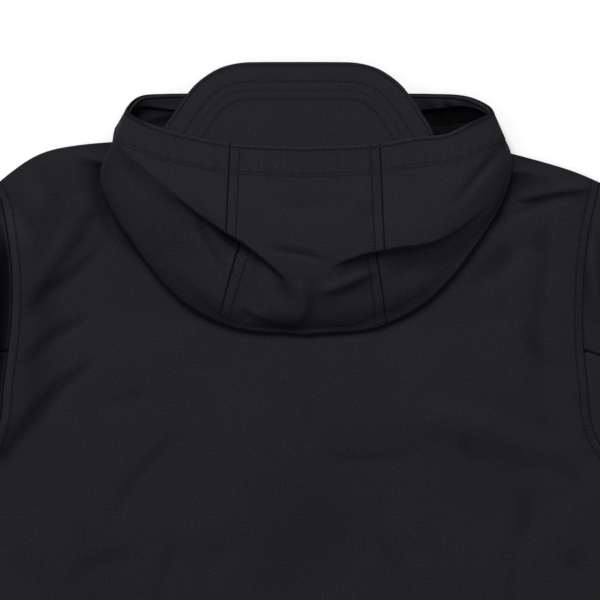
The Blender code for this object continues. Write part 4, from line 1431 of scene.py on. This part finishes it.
# %% Rows of stitches
PITCH = 2.6 * MM
STITCH = 1.6 * MM
THREAD_HALF = 0.7 * MM
THREAD_RISE = 0.3 * MM
THREAD = (0.0180, 0.0170, 0.0218)
thread_finish = nylon("sewing thread", THREAD, 0.8, 0.0, 0.02)


def normals_of(points, flip=1.0):
    """Unit normals of a grid, from the cross product of its row and column steps."""
    normal = flip * np.cross(np.gradient(points, axis=1), np.gradient(points, axis=0))
    return normal / np.maximum(np.linalg.norm(normal, axis=-1, keepdims=True), 1e-12)


def crossing(values, field, at):
    """Where a field that grows down the rows passes a value: a straight share between two rows."""
    k = np.clip((field < at).sum(0) - 1, 0, len(field) - 2)
    col = np.arange(field.shape[1])
    share = (at - field[k, col]) / np.maximum(field[k + 1, col] - field[k, col], 1e-9)
    share = np.clip(share, 0, 1)[:, None]
    return values[k, col] * (1 - share) + values[k + 1, col] * share


def spindles(path, normal):
    """Stitches along a path: flat rings at four places of each stitch, thin and sunk at both ends."""
    run = np.concatenate([[0], np.cumsum(np.linalg.norm(np.diff(path, axis=0), axis=1))])
    count = max(1, int(run[-1] / PITCH))
    centre = (np.arange(count) + 0.5) * run[-1] / count
    place = np.array([-0.5, -0.34, 0.34, 0.5]) * STITCH
    size = np.array([0.5, 1.0, 1.0, 0.5])
    lift = np.array([-1.3, 0.1, 0.1, -1.3]) * THREAD_RISE + WALL / 2
    at = np.clip(centre[:, None] + place, 0, run[-1])
    spot = np.stack([np.interp(at, run, path[:, k]) for k in range(3)], axis=-1)
    up = np.stack([np.interp(at, run, normal[:, k]) for k in range(3)], axis=-1)
    up /= np.maximum(np.linalg.norm(up, axis=-1, keepdims=True), 1e-9)
    way = np.gradient(spot, axis=1)
    aside = np.cross(up, way)
    aside /= np.maximum(np.linalg.norm(aside, axis=-1, keepdims=True), 1e-9)
    turn = np.arange(5) * 2 * np.pi / 5
    ring = THREAD_HALF * np.cos(turn)[:, None] * aside[:, :, None]
    ring = ring + THREAD_RISE * np.sin(turn)[:, None] * up[:, :, None]
    return spot[:, :, None] + lift[:, None, None] * up[:, :, None] + size[:, None, None] * ring


def row_at(grid, axis, at, flip=1.0):
    """A row of stitches at a distance of the seams map, 0 for the side seam and 1 for the edge."""
    points, seams = grid
    normal = normals_of(points, flip)
    field = seams[..., axis]
    if axis == 0:
        points, normal, field = points.swapaxes(0, 1), normal.swapaxes(0, 1), field.T
    return spindles(crossing(points, field, at), crossing(normal, field, at))


def halves(points, seams):
    """The left and the right half of a grid, each from its side seam to the middle."""
    half = points.shape[1] // 2
    return (points[:, :half], seams[:, :half]), (points[:, :half:-1], seams[:, :half:-1])


# %% Stitch the hood
hood_rows = []
for panel in ("hood_centre", "hood_side_left", "hood_side_right"):
    for distance in (RIM_STITCH, *CHANNEL_STITCHES):
        hood_rows.append(row_at(grids[panel], 1, distance, -1.0))
for half, flip in zip(halves(*grids["hood_centre"]), (-1.0, 1.0)):
    hood_rows.append(row_at(half, 0, TOPSTITCH, flip))
joined("hood_stitches", np.concatenate(hood_rows), thread_finish)


# %% Stitch the brim
UNDER_RIM = 2 * MM
ROW_SLACK = 0.4 * MM


def brim_row(inset):
    """The outline moved in by a distance, set on the upper ply by solving for its share of the way up."""
    way = np.gradient(outline[:, :2], axis=0)
    way /= np.linalg.norm(way, axis=1, keepdims=True)
    x = outline[:, 0] + inset * way[:, 1]
    y = outline[:, 1] - inset * way[:, 0]
    distance = np.abs(nearest(brim_edge, x, y)[0])
    root = rim_line(x)[0] - UNDER_RIM
    good = (distance > inset - ROW_SLACK) & (y > root)
    x, y = x[good], y[good]
    v = np.full_like(x, 0.5)
    for _ in range(12):
        half = through(np.array(BRIM)[:, 0], np.array(BRIM)[:, 1], v)
        share = np.clip((x - BRIM_SHIFT) / half, -1, 1)
        root_y = rim_line(BRIM_SHIFT + share * BRIM[0].half_width)[0] - BRIM_TUCK
        v = 1 - np.sqrt(1 - np.clip((y - root_y) / (BRIM_TIP_Y - root_y), 0, 1))
    spots = brim_point(share, v, 1)
    return spindles(stacked(x, y, spots[:, 2]), stacked(0 * x, 0 * x, 1 + 0 * x))


brim_threads = np.concatenate([brim_row(inset) for inset in BRIM_STITCHES])
joined("brim_stitches", brim_threads, thread_finish)

# %% Stitch the body and sleeves
body_rows = [row_at(grids["back"], 1, HEM_STITCH)]
first = np.searchsorted(BODY_ROWS, ARMHOLE_SHARE) + 2
for half, flip in zip(halves(*(field[first:-1] for field in grids["back"])), (1.0, -1.0)):
    body_rows.append(row_at(half, 0, ARMHOLE_STITCH, flip))
joined("back_stitches", np.concatenate(body_rows), thread_finish)
front_rows = []
for side, word in SIDES:
    for axis, distance in ((1, HEM_STITCH), (0, ZIP_STITCH)):
        front_rows.append(row_at(grids[f"front_{word}"], axis, distance, -side))
joined("front_stitches", np.concatenate(front_rows), thread_finish)
cuff_rows = []
for side, word in SIDES:
    for part in ("upper", "under"):
        from_cuff = [field[::-1] for field in grids[f"sleeve_{part}_{word}"]]
        cuff_rows.append(row_at(from_cuff, 1, HEM_STITCH, side))
joined("cuff_stitches", np.concatenate(cuff_rows), thread_finish)

# %% [markdown]
# ## Table, light and camera
# The jacket was shot from straight above on white, in even light that comes a little more from the top
# of the picture. One very large lamp and a bright surround do this. A long lens keeps the outline true.

# %% Table
TABLE_HALF = 6.0
TABLE_GAP = 0.4 * MM
TABLE_WHITE = {"To Min": 0.90, "To Max": 0.94}
table_mesh = bpy.data.meshes.new("table")
corners = TABLE_HALF * np.array([(-1, -1, 0), (1, -1, 0), (1, 1, 0), (-1, 1, 0)])
table_mesh.from_pydata(corners.tolist(), [], [(0, 1, 2, 3)])
table = show("table", table_mesh)
table.location.z = -TABLE_GAP
table_finish, tree, shader = new_material("white table", (0.8, 0.8, 0.8))
place = shader_node(tree, "TexCoord", {})["Object"]
noise = shader_node(tree, "TexNoise", {"Scale": 3.0, "Vector": place})
white = shader_node(tree, "MapRange", {"Value": noise["Fac"], **TABLE_WHITE})
feed(tree, shader, {"Base Color": white["Result"], "Roughness": 0.9, "Specular IOR Level": 0.1})
table_mesh.materials.append(table_finish)
table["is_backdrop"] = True


# %% Light
def lamp(name, place, aim, size, power):
    """A square area light at a place, turned towards a point."""
    light = bpy.data.lights.new(name, "AREA")
    light.shape = "SQUARE"
    light.size = size
    light.energy = power
    shown = show(name, light)
    shown.location = place
    toward = np.array(aim) - np.array(place)
    pitch = np.arctan2(np.hypot(toward[0], toward[1]), -toward[2])
    shown.rotation_euler = (pitch, 0, np.arctan2(-toward[0], toward[1]))


lamp("key lamp", place=(-0.6, 2.4, 2.4), aim=(0, 0.2, 0), size=1.6, power=115)
world = bpy.data.worlds.new("white surround")
world.use_nodes = True
feed(world.node_tree, world.node_tree.nodes["Background"], {"Color": (1, 1, 1, 1), "Strength": 0.40})
bpy.context.scene.world = world
bpy.context.scene.view_settings.view_transform = "Standard"
bpy.context.scene.view_settings.look = "None"

# %% Camera
PICTURE = 600
PIXEL = 0.82 * MM
LENS = 150
SENSOR = 36
VIEW_X, VIEW_Y, CLOTH_Z = 2.87 * MM, 206.5 * MM, 10 * MM
camera_data = bpy.data.cameras.new("camera")
camera_data.lens = LENS
camera_data.sensor_width = SENSOR
camera = show("camera", camera_data)
camera.location = (VIEW_X, VIEW_Y, PICTURE * PIXEL * LENS / SENSOR + CLOTH_Z)
bpy.context.scene.camera = camera

# %% Sizes
low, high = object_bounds()
print("visual box:", [round(1000 * side, 1) for side in high - low], "mm")
